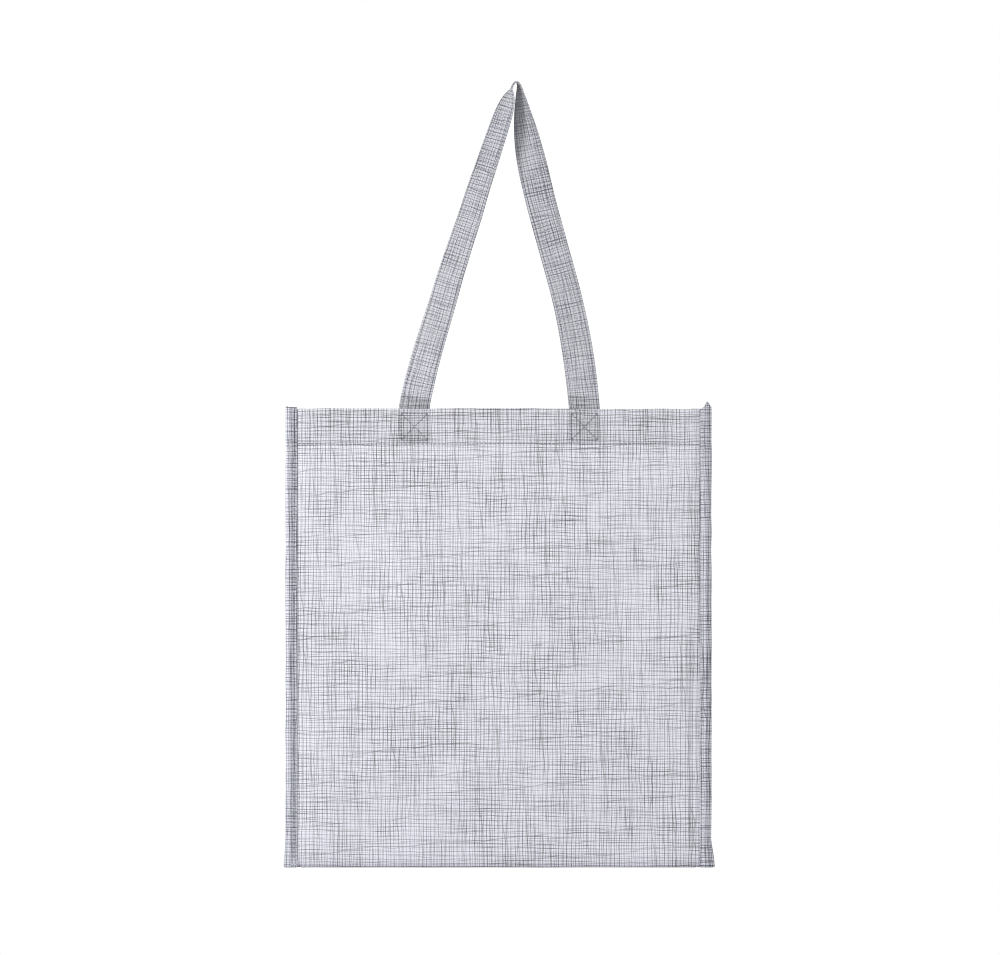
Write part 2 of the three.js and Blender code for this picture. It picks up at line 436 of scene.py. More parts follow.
class HatchGroup:
    """One family of hand-drawn ink lines, uneven in spacing, weight and length."""

    INPUTS = ("Across", "Along", "Pitch", "Tilt", "Half width", "Wander", "Seed")
    SLOW = (0.035, 0.03)  # waves per millimetre of the hand's drift, across and along
    SHAKE = (0.25, 0.11)  # and of its shake
    SHAKE_SIZE = 0.9  # millimetres
    SPACING = 0.5  # how uneven the spacing is, from 0 to 1
    SOFT_EDGE = (0.4, 2.2)  # where a line starts and stops to fade, in half widths
    STROKE = 0.045  # changes of weight per millimetre of a stroke
    WEIGHTS = (0.42, 1.0)

    def __init__(self) -> None:
        """Builds the node group once."""
        self.tree = bpy.data.node_groups.new("ink_hatch", "ShaderNodeTree")
        for name in self.INPUTS:
            self.tree.interface.new_socket(
                name=name, in_out="INPUT", socket_type="NodeSocketFloat"
            )
        self.tree.interface.new_socket(
            name="Ink", in_out="OUTPUT", socket_type="NodeSocketFloat"
        )
        nodes = Nodes(self.tree)
        source = self.tree.nodes.new("NodeGroupInput").outputs
        result = self.tree.nodes.new("NodeGroupOutput")
        across, along, pitch = source["Across"], source["Along"], source["Pitch"]
        seed = source["Seed"]

        # The hand wanders slowly over centimetres and shakes a little over millimetres.
        slow_place = self.wave_place(nodes, source, self.SLOW)
        slow = nodes.math("SUBTRACT", nodes.noise(slow_place, 1.0, 1.5), 0.5)
        shake_place = self.wave_place(nodes, source, self.SHAKE)
        shake = nodes.math("SUBTRACT", nodes.noise(shake_place, 1.0, 1.0), 0.5)
        wander = nodes.math(
            "ADD",
            nodes.math("MULTIPLY", slow, source["Wander"]),
            nodes.math("MULTIPLY", shake, self.SHAKE_SIZE),
        )
        lean = nodes.math("MULTIPLY", along, source["Tilt"])
        place = nodes.math("ADD", nodes.math("ADD", across, wander), lean)
        cell = nodes.math("ADD", nodes.math("DIVIDE", place, pitch), seed)
        edge = nodes.add(
            "TexVoronoi",
            {"W": cell, "Scale": 1.0, "Randomness": self.SPACING},
            voronoi_dimensions="1D",
            feature="DISTANCE_TO_EDGE",
        ).outputs["Distance"]
        thin = nodes.math("DIVIDE", source["Half width"], pitch)
        near, far = (nodes.math("MULTIPLY", thin, share) for share in self.SOFT_EDGE)
        line = nodes.remap(edge, near, far, 1.0, 0.0)

        # A stroke fades in and out along its length, and neighbours differ in weight.
        weight_place = nodes.vector(
            nodes.math("DIVIDE", place, pitch), nodes.math("MULTIPLY", along, self.STROKE), seed
        )
        weight = nodes.remap(nodes.noise(weight_place, 0.9, 2.0), 0.32, 0.68, *self.WEIGHTS)
        ink = nodes.math("MULTIPLY", line, weight)
        self.tree.links.new(ink, result.inputs["Ink"])

    @staticmethod
    def wave_place(
        nodes: Nodes, source: bpy.types.NodeOutputs, scale: tuple[float, float]
    ) -> bpy.types.NodeSocket:
        """Where to read one of the hand's movements.

        Args:
            nodes: The group's nodes.
            source: The group's inputs.
            scale: Waves per millimetre, across and along.

        Returns:
            The coordinates' socket.
        """
        across = nodes.math("MULTIPLY", source["Across"], scale[0])
        along = nodes.math("MULTIPLY", source["Along"], scale[1])
        return nodes.vector(across, along, source["Seed"])


@dataclass(frozen=True)
class PrintedCloth:
    """Laminated spunbond polypropylene, printed with a grey hand-drawn crosshatch.

    Melt-spun fibres are bonded by a hot roller with a lattice of points and then covered with a
    printed film. The eye gets a cool white ground under soft grey lines, a low sheen from the
    film that breaks up over the pressed points, and a darker tone wherever layers lie together.
    The same darkening also carries painted shade: in the seams' grooves and rolled edges, on the
    handles' upper legs and in their creases.
    """

    name: str
    ground: str = "f4f5ff"
    ink: str = "727073"
    shade: float = 1.0
    strength: float = 1.0
    roughness: float = 0.58

    HATCHES = (
        # turned, pitch mm, tilt, half width mm, wander mm, seed, weight
        (False, 2.05, 0.004, 0.19, 2.0, 3.1, 0.62),
        (False, 3.25, -0.010, 0.25, 3.5, 11.7, 0.72),
        (False, 17.0, 0.07, 0.30, 9.0, 23.3, 0.48),
        (True, 2.05, -0.004, 0.19, 2.0, 37.9, 0.62),
        (True, 3.20, 0.012, 0.25, 3.5, 43.3, 0.68),
        (True, 19.0, -0.08, 0.30, 9.0, 59.1, 0.48),
    )
    PATCHES = (
        # patches per mm, detail, range of the noise that is used, most and least ink
        (0.045, 2.0, 0.3, 0.7, 1.14, 0.88),
        (0.014, 1.0, 0.35, 0.65, 1.12, 0.90),
    )
    LAYER_INK = 0.05  # how much the print deepens over each further layer, also part of the painted shade
    LAYER_SHADE = 0.065  # painted shade: how much the cloth darkens over each further layer
    POINTS = 0.95  # pressed points per millimetre
    POINT_DRIFT = 0.12  # how far they stray from their lattice, from 0 to 1
    POINT_EDGE = (0.10, 0.34)  # where a point's rim starts and ends
    POINT_DEPTH = 0.7  # next to the fibres' relief
    FIBRES = 2.6  # fibre clumps per millimetre, coarser than real fibres so that they show
    RELIEF = 0.12 * MM
    BUMP = 0.22
    UNEVEN_GLOSS = (-0.06, 0.10)  # change of roughness between the fibres and over them
    SHEEN = (0.12, 0.4)  # weight and roughness
    IOR = 1.49  # polypropylene

    def build(self, hatch: HatchGroup) -> bpy.types.Material:
        """Makes the material.

        Args:
            hatch: The line family that the print is made of.

        Returns:
            The finished material.
        """
        finish = Finish(self.name)
        tree, nodes = finish.tree, finish.nodes
        flat = nodes.add("UVMap", uv_map=CLOTH_MAP).outputs["UV"]
        split = nodes.add("SeparateXYZ", {"Vector": flat}).outputs
        across = nodes.math("MULTIPLY", split["X"], 1000.0)
        along = nodes.math("MULTIPLY", split["Y"], 1000.0)
        bare: object = 1.0
        for turned, pitch, tilt, half_width, wander, seed, weight in self.HATCHES:
            node = tree.nodes.new("ShaderNodeGroup")
            node.node_tree = hatch.tree
            tree.links.new(along if turned else across, node.inputs["Across"])
            tree.links.new(across if turned else along, node.inputs["Along"])
            values = (pitch, tilt, half_width, wander, seed)
            for socket, value in zip(HatchGroup.INPUTS[2:], values):
                node.inputs[socket].default_value = value
            left_bare = nodes.math(
                "SUBTRACT",
                1.0,
                nodes.math("MULTIPLY", node.outputs["Ink"], weight * self.strength),
                clamp=True,
            )
            bare = nodes.math("MULTIPLY", bare, left_bare)
        place = nodes.vector(across, along, 0.0)
        # Patches of the print are denser, as where the drawing was worked over twice.
        density = [
            nodes.remap(nodes.noise(place, scale, detail), low, high, most, least)
            for scale, detail, low, high, most, least in self.PATCHES
        ]
        patches = nodes.math("MULTIPLY", *density)
        layers_and_shade = nodes.add("Attribute", attribute_name=LAYERS).outputs["Fac"]
        inked = nodes.math("SUBTRACT", 1.0, bare)
        inked = nodes.math("MULTIPLY", inked, patches)
        deeper = nodes.math("ADD", 1.0, nodes.math("MULTIPLY", layers_and_shade, self.LAYER_INK))
        inked = nodes.math("MULTIPLY", inked, deeper, clamp=True)
        colour = nodes.mix(inked, linear(self.ground), linear(self.ink))
        # Each counted layer darkens the cloth: folded parts, and painted shade in the seams'
        # grooves and rolled edges, on the handles' upper legs and in their creases.
        single = nodes.math("SUBTRACT", 1.0, nodes.math("MULTIPLY", layers_and_shade, self.LAYER_SHADE))
        dim = nodes.math("MULTIPLY", single, self.shade)
        grey = nodes.add("CombineColor", {"Red": dim, "Green": dim, "Blue": dim}).outputs[0]
        finish.set(Base_Color=nodes.mix(1.0, colour, grey, "MULTIPLY"))

        # Spunbond cloth: a lattice of pressed points about a millimetre apart, and loose fibres.
        lattice = nodes.add(
            "TexVoronoi",
            {"Vector": place, "Scale": self.POINTS, "Randomness": self.POINT_DRIFT},
            voronoi_dimensions="2D",
        ).outputs["Distance"]
        points = nodes.remap(lattice, *self.POINT_EDGE, 0.0, 1.0)
        fibres = nodes.noise(place, self.FIBRES, 3.0)
        relief = nodes.math("ADD", nodes.math("MULTIPLY", points, self.POINT_DEPTH), fibres)
        finish.bump(relief, self.BUMP, self.RELIEF)
        smoothest, roughest = (self.roughness + change for change in self.UNEVEN_GLOSS)
        finish.set(
            Roughness=nodes.remap(fibres, 0.3, 0.7, smoothest, roughest),
            IOR=self.IOR,
            Sheen_Weight=self.SHEEN[0],
            Sheen_Roughness=self.SHEEN[1],
        )
        return finish.material


@dataclass(frozen=True)
class SewingThread:
    """Spun grey polyester sewing thread, twisted from plies.

    The eye gets short slanting highlights along each stitch, with painted shade in the grooves
    between the plies, and a soft edge from the loose fibre ends.
    """

    name: str
    colour: str = "878a95"

    PLIES = 900.0  # per metre, coarser than real thread so that they show
    TWIST = 1.2  # how unevenly they are twisted
    SHADOW = 0.72  # painted shade: how dark the grooves between the plies are drawn
    RELIEF = 0.08 * MM
    BUMP = 0.5
    ROUGHNESS = (0.62, 0.45)  # in the grooves and on the plies
    SHEEN = 0.2

    def build(self) -> bpy.types.Material:
        """Makes the material.

        Returns:
            The finished material.
        """
        finish = Finish(self.name)
        nodes = finish.nodes
        place = nodes.add("TexCoord").outputs["Object"]
        inputs = {"Vector": place, "Scale": self.PLIES, "Distortion": self.TWIST, "Detail": 1.0}
        plies = nodes.add("TexWave", inputs, bands_direction="DIAGONAL").outputs["Fac"]
        base = linear(self.colour)
        finish.set(
            Base_Color=nodes.mix(plies, dimmed(base, self.SHADOW), base),
            Roughness=nodes.remap(plies, 0.0, 1.0, *self.ROUGHNESS),
            Sheen_Weight=self.SHEEN,
        )
        finish.bump(plies, self.BUMP, self.RELIEF)
        return finish.material


@dataclass(frozen=True)
class StudioFloor:
    """Matt painted board, rolled on: a near-white ground with a faint mottle and no gloss."""

    name: str
    colour: str = "f1f1f2"

    MOTTLE = 0.97
    PATCHES = 9.0  # per metre
    ROUGHNESS = 0.9

    def build(self) -> bpy.types.Material:
        """Makes the material.

        Returns:
            The finished material.
        """
        finish = Finish(self.name)
        nodes = finish.nodes
        place = nodes.add("TexCoord").outputs["Object"]
        mottle = nodes.noise(place, self.PATCHES, 2.0)
        base = linear(self.colour)
        colour = nodes.mix(mottle, base, dimmed(base, self.MOTTLE))
        finish.set(Base_Color=colour, Roughness=self.ROUGHNESS)
        return finish.material


# ---- mesh helpers ---------------------------------------------------------------------------


@dataclass
class Surface:
    """A grid of points with flat cloth coordinates and the layers behind each point, painted shade
    counted as layers.
    """

    points: Array
    flat: Array
    layers_and_shade: Array | None = None
    closed_across: bool = False

    def build(self, name: str, material: bpy.types.Material) -> bpy.types.Object:
        """Makes a mesh object from the grid.

        Args:
            name: The object's name.
            material: Its finish.

        Returns:
            The new object.
        """
        rows, columns = self.points.shape[:2]
        index = np.arange(rows * columns).reshape(rows, columns)
        nearer, further = index[:-1], index[1:]
        if self.closed_across:
            step = np.roll(np.arange(columns), -1)
            quads = np.stack([nearer, nearer[:, step], further[:, step], further], -1)
            low = self.flat[:, :1, 0]
            wrapped = np.concatenate([self.flat, self.flat[:, :1]], 1)
            wrapped[:, -1, 0] = low[:, 0] + self.girth()
            corner = np.stack(
                [wrapped[:-1, :-1], wrapped[:-1, 1:], wrapped[1:, 1:], wrapped[1:, :-1]], -2
            )
        else:
            quads = np.stack(
                [nearer[:, :-1], nearer[:, 1:], further[:, 1:], further[:, :-1]], -1
            )
            flat = self.flat
            corner = np.stack([flat[:-1, :-1], flat[:-1, 1:], flat[1:, 1:], flat[1:, :-1]], -2)
        mesh = bpy.data.meshes.new(name)
        faces = quads.reshape(-1, 4)
        mesh.from_pydata(self.points.reshape(-1, 3).tolist(), [], faces.tolist())
        mesh.uv_layers.new(name=CLOTH_MAP).data.foreach_set(
            "uv", corner.reshape(-1, 2).astype(np.float32).ravel()
        )
        layers_and_shade = np.zeros((rows, columns)) if self.layers_and_shade is None else self.layers_and_shade
        attribute = mesh.attributes.new(LAYERS, "FLOAT", "POINT")
        attribute.data.foreach_set("value", layers_and_shade.astype(np.float32).ravel())
        mesh.polygons.foreach_set("use_smooth", np.ones(len(faces), bool))
        mesh.materials.append(material)
        mesh.update()
        thing = bpy.data.objects.new(name, mesh)
        bpy.context.scene.collection.objects.link(thing)
        return thing

    def girth(self) -> float:
        """The distance round a closed section, taken half way along.

        Returns:
            The distance in metres.
        """
        ring = self.points[len(self.points) // 2]
        return float(np.linalg.norm(ring - np.roll(ring, -1, 0), axis=1).sum())


def thicken(thing: bpy.types.Object, thickness: float) -> bpy.types.Object:
    """Gives a sheet its real thickness, half to each side, as plain mesh.

    Args:
        thing: A sheet with no thickness.
        thickness: The cloth's thickness in metres.

    Returns:
        The same object with its mesh replaced.
    """
    solid = thing.modifiers.new("cloth", "SOLIDIFY")
    solid.thickness = thickness
    solid.offset = 0.0
    bpy.context.view_layer.update()
    seen = thing.evaluated_get(bpy.context.evaluated_depsgraph_get())
    mesh = bpy.data.meshes.new_from_object(seen)
    thing.modifiers.clear()
    old, thing.data = thing.data, mesh
    mesh.name = thing.name
    bpy.data.meshes.remove(old)
    return thing


def spaced(*stops: tuple[float, int]) -> Array:
    """Places between stops, each stretch split evenly into its own number of steps.

    Args:
        *stops: Pairs of a place and the number of steps that lead to it.

    Returns:
        The places, in order.
    """
    places = [stops[0][0]]
    for (start, _), (end, steps) in zip(stops, stops[1:]):
        places += list(start + (end - start) * np.arange(1, steps + 1) / steps)
    return np.array(places)


# ---- the bag's cloths -----------------------------------------------------------------------


@dataclass
class Finishes:
    """The materials that the pieces share."""

    panel: bpy.types.Material
    gusset: bpy.types.Material
    binding: bpy.types.Material
    strap: bpy.types.Material
    thread: bpy.types.Material
    fine_thread: bpy.types.Material


@dataclass
class BodyPanel:
    """The front or back face of the body cloth, with its hem folded down inside."""

    sizes: Sizes
    face: Face
    finishes: Finishes
    ripples: Ripples = field(init=False)

    SEAM_DIP = 2.1 * MM
    BELLY = 3.6 * MM
    UNDER = 9.0 * MM  # radius of the soft turn into the base
    TUCK = 4.0 * MM  # how far the cloth goes under the bag within that turn
    FOLD = 1.3 * MM
    FOLD_TOP = 240 * MM
    RIPPLE = 1.15 * MM
    SHOULDER = 0.5 * MM
    PUCKER = 0.45 * MM
    PUCKER_WIDTH = 2.2 * MM
    INSET = 0.3 * MM  # the cloth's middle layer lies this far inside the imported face
    FIN_INSET = 1.25 * MM
    LIFT = 0.55 * MM  # of the lowest edge off the ground
    PRINT_START = {Face.FRONT: 0.0, Face.BACK: 0.71}  # along the printed roll, in metres

    def __post_init__(self) -> None:
        """Draws this panel's own unevenness."""
        self.ripples = Ripples(11 + self.face.value, 0.21, 0.045)

    def depth(self, x: Array, z: Array) -> Array:
        """How far the cloth's middle layer stands out from the flat panel, outwards positive.

        Args:
            x: Places across the panel, in metres.
            z: Heights on the panel, in metres.

        Returns:
            The distance at each place.
        """
        s = self.sizes
        x, z = np.broadcast_arrays(np.asarray(x, float), np.asarray(z, float))
        edge = s.half_width - np.abs(x)
        inside = smooth(-1 * MM, 14 * MM, edge)
        belly = self.BELLY * (1 - (x / s.half_width) ** 2) * np.sin(
            np.pi * np.clip(z / s.height, 0, 1)
        )
        calm = 0.25 + 0.75 * smooth(s.height, s.height - 70 * MM, z)
        uneven = self.RIPPLE * self.ripples.at(x, z) * calm * inside
        shoulder = self.SHOULDER * inside
        dip = -self.SEAM_DIP * hill(edge, -2.0 * MM, 3.2 * MM)
        # A soft upright fold beside the right seam, where the slack of the body gathers.
        right = self.face.value * -x
        fold = -self.FOLD * hill(right, s.half_width - 5.5 * MM, 2.2 * MM)
        fold = fold * smooth(self.FOLD_TOP, self.FOLD_TOP - 140 * MM, z)
        # The hem stitching draws the layers together along its line.
        line = s.height - s.hem + 2.0 * MM
        pucker = -self.PUCKER * hill(z, line, self.PUCKER_WIDTH) * inside
        return belly + uneven + shoulder + dip + fold + pucker

    def point(self, x: Array, z: Array, out: Array) -> Array:
        """Places on or over the panel.

        Args:
            x: Places across, in metres.
            z: Heights, in metres.
            out: Extra distance outwards from the cloth's middle layer, in metres.

        Returns:
            Points in the row frame.
        """
        x, z, out = np.broadcast_arrays(
            np.asarray(x, float), np.asarray(z, float), np.asarray(out, float)
        )
        y = self.face.value * (self.sizes.half_depth - self.INSET + self.depth(x, z) + out)
        return np.stack([x, y, z], -1)

    def build(self) -> bpy.types.Object:
        """Makes the panel with its fins and its folded hem as one sheet.

        Returns:
            The panel's object.
        """
        s = self.sizes
        edge = s.half_width
        inner = edge - 16 * MM
        xs = spaced((-s.fin, 0), (-edge, 5), (-inner, 10), (inner, 150), (edge, 10), (s.fin, 5))
        turn = self.UNDER
        under = np.linspace(-0.5, 1.0, 9)[:-1] * math.pi / 2  # quarter turn below the panel
        low_out = -self.TUCK * (1 - np.sin(np.clip(under, 0, None)))
        low_z = turn * (1 - np.cos(np.clip(under, 0, None)))
        low_out = np.where(under < 0, -self.TUCK + under * 5 * MM, low_out)
        fold_z = s.height - LAP
        main_z = spaced((turn, 0), (s.height - s.hem - 8 * MM, 82), (fold_z, 20))
        over = np.linspace(0, math.pi, 7)[1:-1]
        over_out = -LAP + LAP * np.cos(over)
        over_z = fold_z + LAP * np.sin(over)
        down_z = np.linspace(fold_z, s.height - s.hem, 14)
        zs = np.concatenate([low_z + self.LIFT, main_z, over_z, down_z])
        outs = np.concatenate(
            [low_out, np.zeros_like(main_z), over_out, np.full_like(down_z, -2 * LAP)]
        )
        grid_x = np.broadcast_to(xs, (len(zs), len(xs))).copy()
        grid_z = np.broadcast_to(zs[:, None], grid_x.shape).copy()
        grid_out = np.broadcast_to(outs[:, None], grid_x.shape)
        # The top edge runs a little unevenly, and rises towards the seams.
        edge_wave = 0.35 * MM * Ripples(31, 0.11, 0.03).at(grid_x, 0 * grid_x)
        lift = smooth(s.height - 40 * MM, s.height, grid_z)
        points = self.point(grid_x, grid_z, grid_out)
        points[..., 2] += lift * edge_wave
        # Inside the bindings the cloth is a flat fin.
        fin = smooth(0.2 * MM, 1.6 * MM, np.abs(grid_x) - edge)
        flat_y = self.face.value * (s.half_depth - self.FIN_INSET + grid_out * 0.1)
        points[..., 1] = points[..., 1] * (1 - fin) + flat_y * fin
        # Below the side bindings there is no fin, so that the base's own seam has room.
        low = (grid_z < 5 * MM) & (np.abs(grid_x) > edge)
        drawn_in = np.sign(grid_x) * (edge + 0.02 * (np.abs(grid_x) - edge))
        points[..., 0] = np.where(low, drawn_in, points[..., 0])
        along = travelled(points[:, len(xs) // 2])
        start = grid_x + self.PRINT_START[self.face]
        flat = np.stack([start, np.broadcast_to(along[:, None], grid_x.shape)], -1)
        folded = (s.height - s.hem - 0.3 * MM <= grid_z) * 1.0
        half = s.strap_width / 2
        root = np.where(grid_x > 0, s.root_x + s.drift, s.root_x)
        behind = smooth(half + 0.9 * MM, half, np.abs(np.abs(grid_x) - root))
        folded += 2.3 * behind * smooth(s.tail_bottom - 1 * MM, s.tail_bottom, grid_z)
        thing = Surface(points, flat, folded).build(
            f"{self.face.label}_body_cloth", self.finishes.panel
        )
        thicken(thing, CLOTH_THICKNESS)
        label = self.face.label
        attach(thing, label)
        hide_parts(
            f"{label}_panel", f"{label}_panel_left_fin", f"{label}_panel_right_fin"
        )
        return thing


@dataclass
class BaseCloth:
    """The floor of the bag, between the two panels, with its fins stepped up into the seams."""

    sizes: Sizes
    finishes: Finishes
    folder: "FoldFlat"

    SHORT = 6.5 * MM  # the panels' turned edges take up the rest
    LIFT = 0.45 * MM
    STEP = 0.75 * MM
    PRINT_START = 1.4

    def build(self) -> bpy.types.Object:
        """Makes the base.

        Returns:
            The base's object.
        """
        s = self.sizes
        step = s.half_width + 1.4 * MM
        xs = spaced((-s.fin, 0), (-step, 4), (step, 60), (s.fin, 4))
        reach = s.half_depth - self.SHORT
        ys = spaced((-reach, 0), (reach, 40))
        grid_x, grid_y = np.meshgrid(xs, ys)
        rise = smooth(s.half_width, s.half_width + 1.3 * MM, np.abs(grid_x))
        quilt = 0.12 * MM * Ripples(5, 0.12, 0.03).at(grid_x, grid_y)
        z = self.LIFT + quilt * (1 - rise) + self.STEP * rise
        points = np.stack([grid_x, grid_y, z], -1)
        flat = np.stack([grid_x, grid_y + self.PRINT_START], -1)
        thing = Surface(points, flat).build("base_cloth", self.finishes.panel)
        thicken(thing, CLOTH_THICKNESS)
        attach(thing, "back")
        self.folder.squash(thing)
        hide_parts("base_panel", "base_panel_left_fin", "base_panel_right_fin")
        return thing


@dataclass
class FoldFlat:
    """How far the front panel travels when the bag is folded flat, worked out from the fold's
    joints.
    """

    joint: str = "left_rear_corner_fold"
    travel: float = field(init=False)

    def __post_init__(self) -> None:
        """Works out how far the front panel travels, from the fold's own joints."""
        joints = {j["name"]: j for j in frame["joints"]}
        rear, crease = joints[self.joint], joints["left_gusset_crease"]
        angle = math.radians(rear["range_deg"][1])
        corner, middle = rear["pos_m"], crease["pos_m"]
        long, thick = corner[1] - middle[1], abs(middle[0] - corner[0])
        self.travel = 2 * (long * (1 - math.cos(angle)) - thick * math.sin(angle))

    def squash(self, thing: bpy.types.Object) -> None:
        """Gives a piece its own copy of its mesh.

        Args:
            thing: A piece that lies along the base.
        """
        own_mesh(thing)


@dataclass
class Gusset:
    """One side of the bag: a single cloth with a crease down its middle and a folded hem."""

    sizes: Sizes
    side: Side
    finishes: Finishes

    CREASE = 5.0 * MM
    BEND = 7.5 * MM  # the cloth bends over this far to each side of the crease
    CORNER = 3.0 * MM  # the cloth stops this far before the panels
    INSET = 0.3 * MM
    RIPPLE = 0.7 * MM
    PUCKER = 0.3 * MM
    PRINT_START = 2.3

    def inward(self, y: Array, z: Array) -> Array:
        """How far the cloth lies inside the flat side.

        Args:
            y: Places from the crease, in metres.
            z: Heights, in metres.

        Returns:
            The distance at each place.
        """
        s = self.sizes
        reach = s.half_depth - self.CORNER
        valley = np.clip(1 - np.abs(y) / reach, 0, 1)
        depth = self.CREASE * (0.15 + 0.85 * smooth(0.0, 0.30, z))
        edge = reach - np.abs(y)
        inside = smooth(0, 18 * MM, edge)
        uneven = self.RIPPLE * Ripples(21 + self.side.value, 0.16, 0.04).at(y, z) * inside
        line = s.height - s.hem + 3.2 * MM
        pucker = self.PUCKER * hill(z, line, BodyPanel.PUCKER_WIDTH) * inside
        return depth * valley**1.15 + uneven * smooth(0.0, 0.04, z) + pucker

    def point(self, y: Array, z: Array, out: Array) -> Array:
        """Places on or over the gusset.

        Args:
            y: Places from the crease, in metres.
            z: Heights, in metres.
            out: Extra distance outwards from the cloth's middle layer, in metres.

        Returns:
            Points in the row frame.
        """
        y, z, out = np.broadcast_arrays(
            np.asarray(y, float), np.asarray(z, float), np.asarray(out, float)
        )
        x = self.side.value * (self.sizes.half_width - self.INSET - self.inward(y, z) + out)
        return np.stack([x, y, z], -1)

    def build(self) -> bpy.types.Object:
        """Makes the gusset as one sheet that bends at its crease.

        Returns:
            The gusset's object.
        """
        s = self.sizes
        label = self.side.label
        reach = s.half_depth - self.CORNER
        ys = spaced((-reach, 0), (-9 * MM, 26), (9 * MM, 24), (reach, 26))
        fold_z = s.height - LAP
        main_z = spaced((1.1 * MM, 0), (s.height - s.hem - 8 * MM, 60), (fold_z, 18))
        over = np.linspace(0, math.pi, 7)[1:-1]
        down_z = np.linspace(fold_z, s.height - s.hem, 12)
        zs = np.concatenate([main_z, fold_z + LAP * np.sin(over), down_z])
        outs = np.concatenate(
            [np.zeros_like(main_z), -LAP + LAP * np.cos(over), np.full_like(down_z, -2 * LAP)]
        )
        grid_y, grid_z = np.meshgrid(ys, zs)
        grid_out = np.broadcast_to(outs[:, None], grid_y.shape)
        points = self.point(grid_y, grid_z, grid_out)
        along = np.concatenate([[0], np.cumsum(np.abs(np.diff(zs)))])
        offset = self.PRINT_START + 0.4 * self.side.value
        flat = np.stack([grid_y + offset, np.broadcast_to(along[:, None], grid_y.shape)], -1)
        folded = (s.height - s.hem - 0.3 * MM <= grid_z) * 1.0
        thing = Surface(points, flat, folded).build(f"{label}_gusset_cloth", self.finishes.gusset)
        thicken(thing, CLOTH_THICKNESS)
        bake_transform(thing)
        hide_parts(f"{label}_gusset_back", f"{label}_gusset_front")
        return thing


class SeamSection:
    """The section of a seam: fins face to face under a folded strip, rolled over by its stitching.

    Points are (outward, proud): outward from the gusset's face along X, and proud of the panel.
    """

    # The outer layer from its free edge over the stitch groove to the rolled edge, in mm. The
    # left seams stand up in a full roll; the right ones are rolled over and lean away.
    OUTER = {
        Side.LEFT: (
            (0.25, -0.10),
            (0.9, -0.45),
            (1.9, -0.72),
            (3.0, -0.75),
            (4.0, -0.60),
            (5.0, 0.10),
            (6.2, 0.85),
            (7.4, 1.05),
            (8.6, 0.50),
        ),
        Side.RIGHT: (
            (0.25, -0.35),
            (0.9, -0.62),
            (1.9, -0.68),
            (2.9, -0.20),
            (3.9, 0.30),
            (4.9, 0.40),
            (6.0, 0.10),
            (7.1, -0.35),
            (8.2, -0.72),
        ),
    }
    WIDTH = 9.1 * MM  # from the gusset's face to the rolled edge
    # How many layers of cloth are counted under each place, at 0 and 9 mm outwards: the fins and
    # strip pressed together, and on top painted shade in the left seams' stitch groove and on the
    # right seams' rolled edge, which leans away from the light.
    PRESSED_AND_SHADED = {Side.LEFT: (3.4, 0.4), Side.RIGHT: (1.9, 3.6)}
    TURN = ((9.15, -1.05), (8.9, -2.1))
    INNER = (
        (8.1, -2.65),
        (6.8, -2.95),
        (5.2, -2.85),
        (3.9, -2.55),
        (2.8, -2.35),
        (1.6, -2.45),
        (0.45, -2.60),
    )

    @classmethod
    def points(cls, side: Side) -> Array:
        """The strip's middle line, in metres.

        Args:
            side: The side of the bag that it is on.

        Returns:
            Points from the outer free edge round to the inner one.
        """
        return cls.refine(np.array(cls.OUTER[side] + cls.TURN + cls.INNER) * MM)

    @classmethod
    def pressed_and_shaded(cls, side: Side, section: Array) -> Array:
        """How many layers are counted along the strip's middle line, painted shade included.

        Args:
            side: The side of the bag that it is on.
            section: The middle line from points.

        Returns:
            A number of layers for each point.
        """
        inner, outer = cls.PRESSED_AND_SHADED[side]
        return inner + (outer - inner) * smooth(3.6 * MM, 5.6 * MM, section[:, 0])

    @staticmethod
    def refine(line: Array) -> Array:
        """Rounds a line by cutting its corners twice.

        Args:
            line: Points on the line.

        Returns:
            More points on a smoother line with the same ends.
        """
        for _ in range(2):
            near = line[:-1] * 0.75 + line[1:] * 0.25
            far = line[:-1] * 0.25 + line[1:] * 0.75
            middle = np.stack([near, far], 1).reshape(-1, line.shape[1])
            line = np.concatenate([line[:1], middle[1:-1], line[-1:]])
        return line


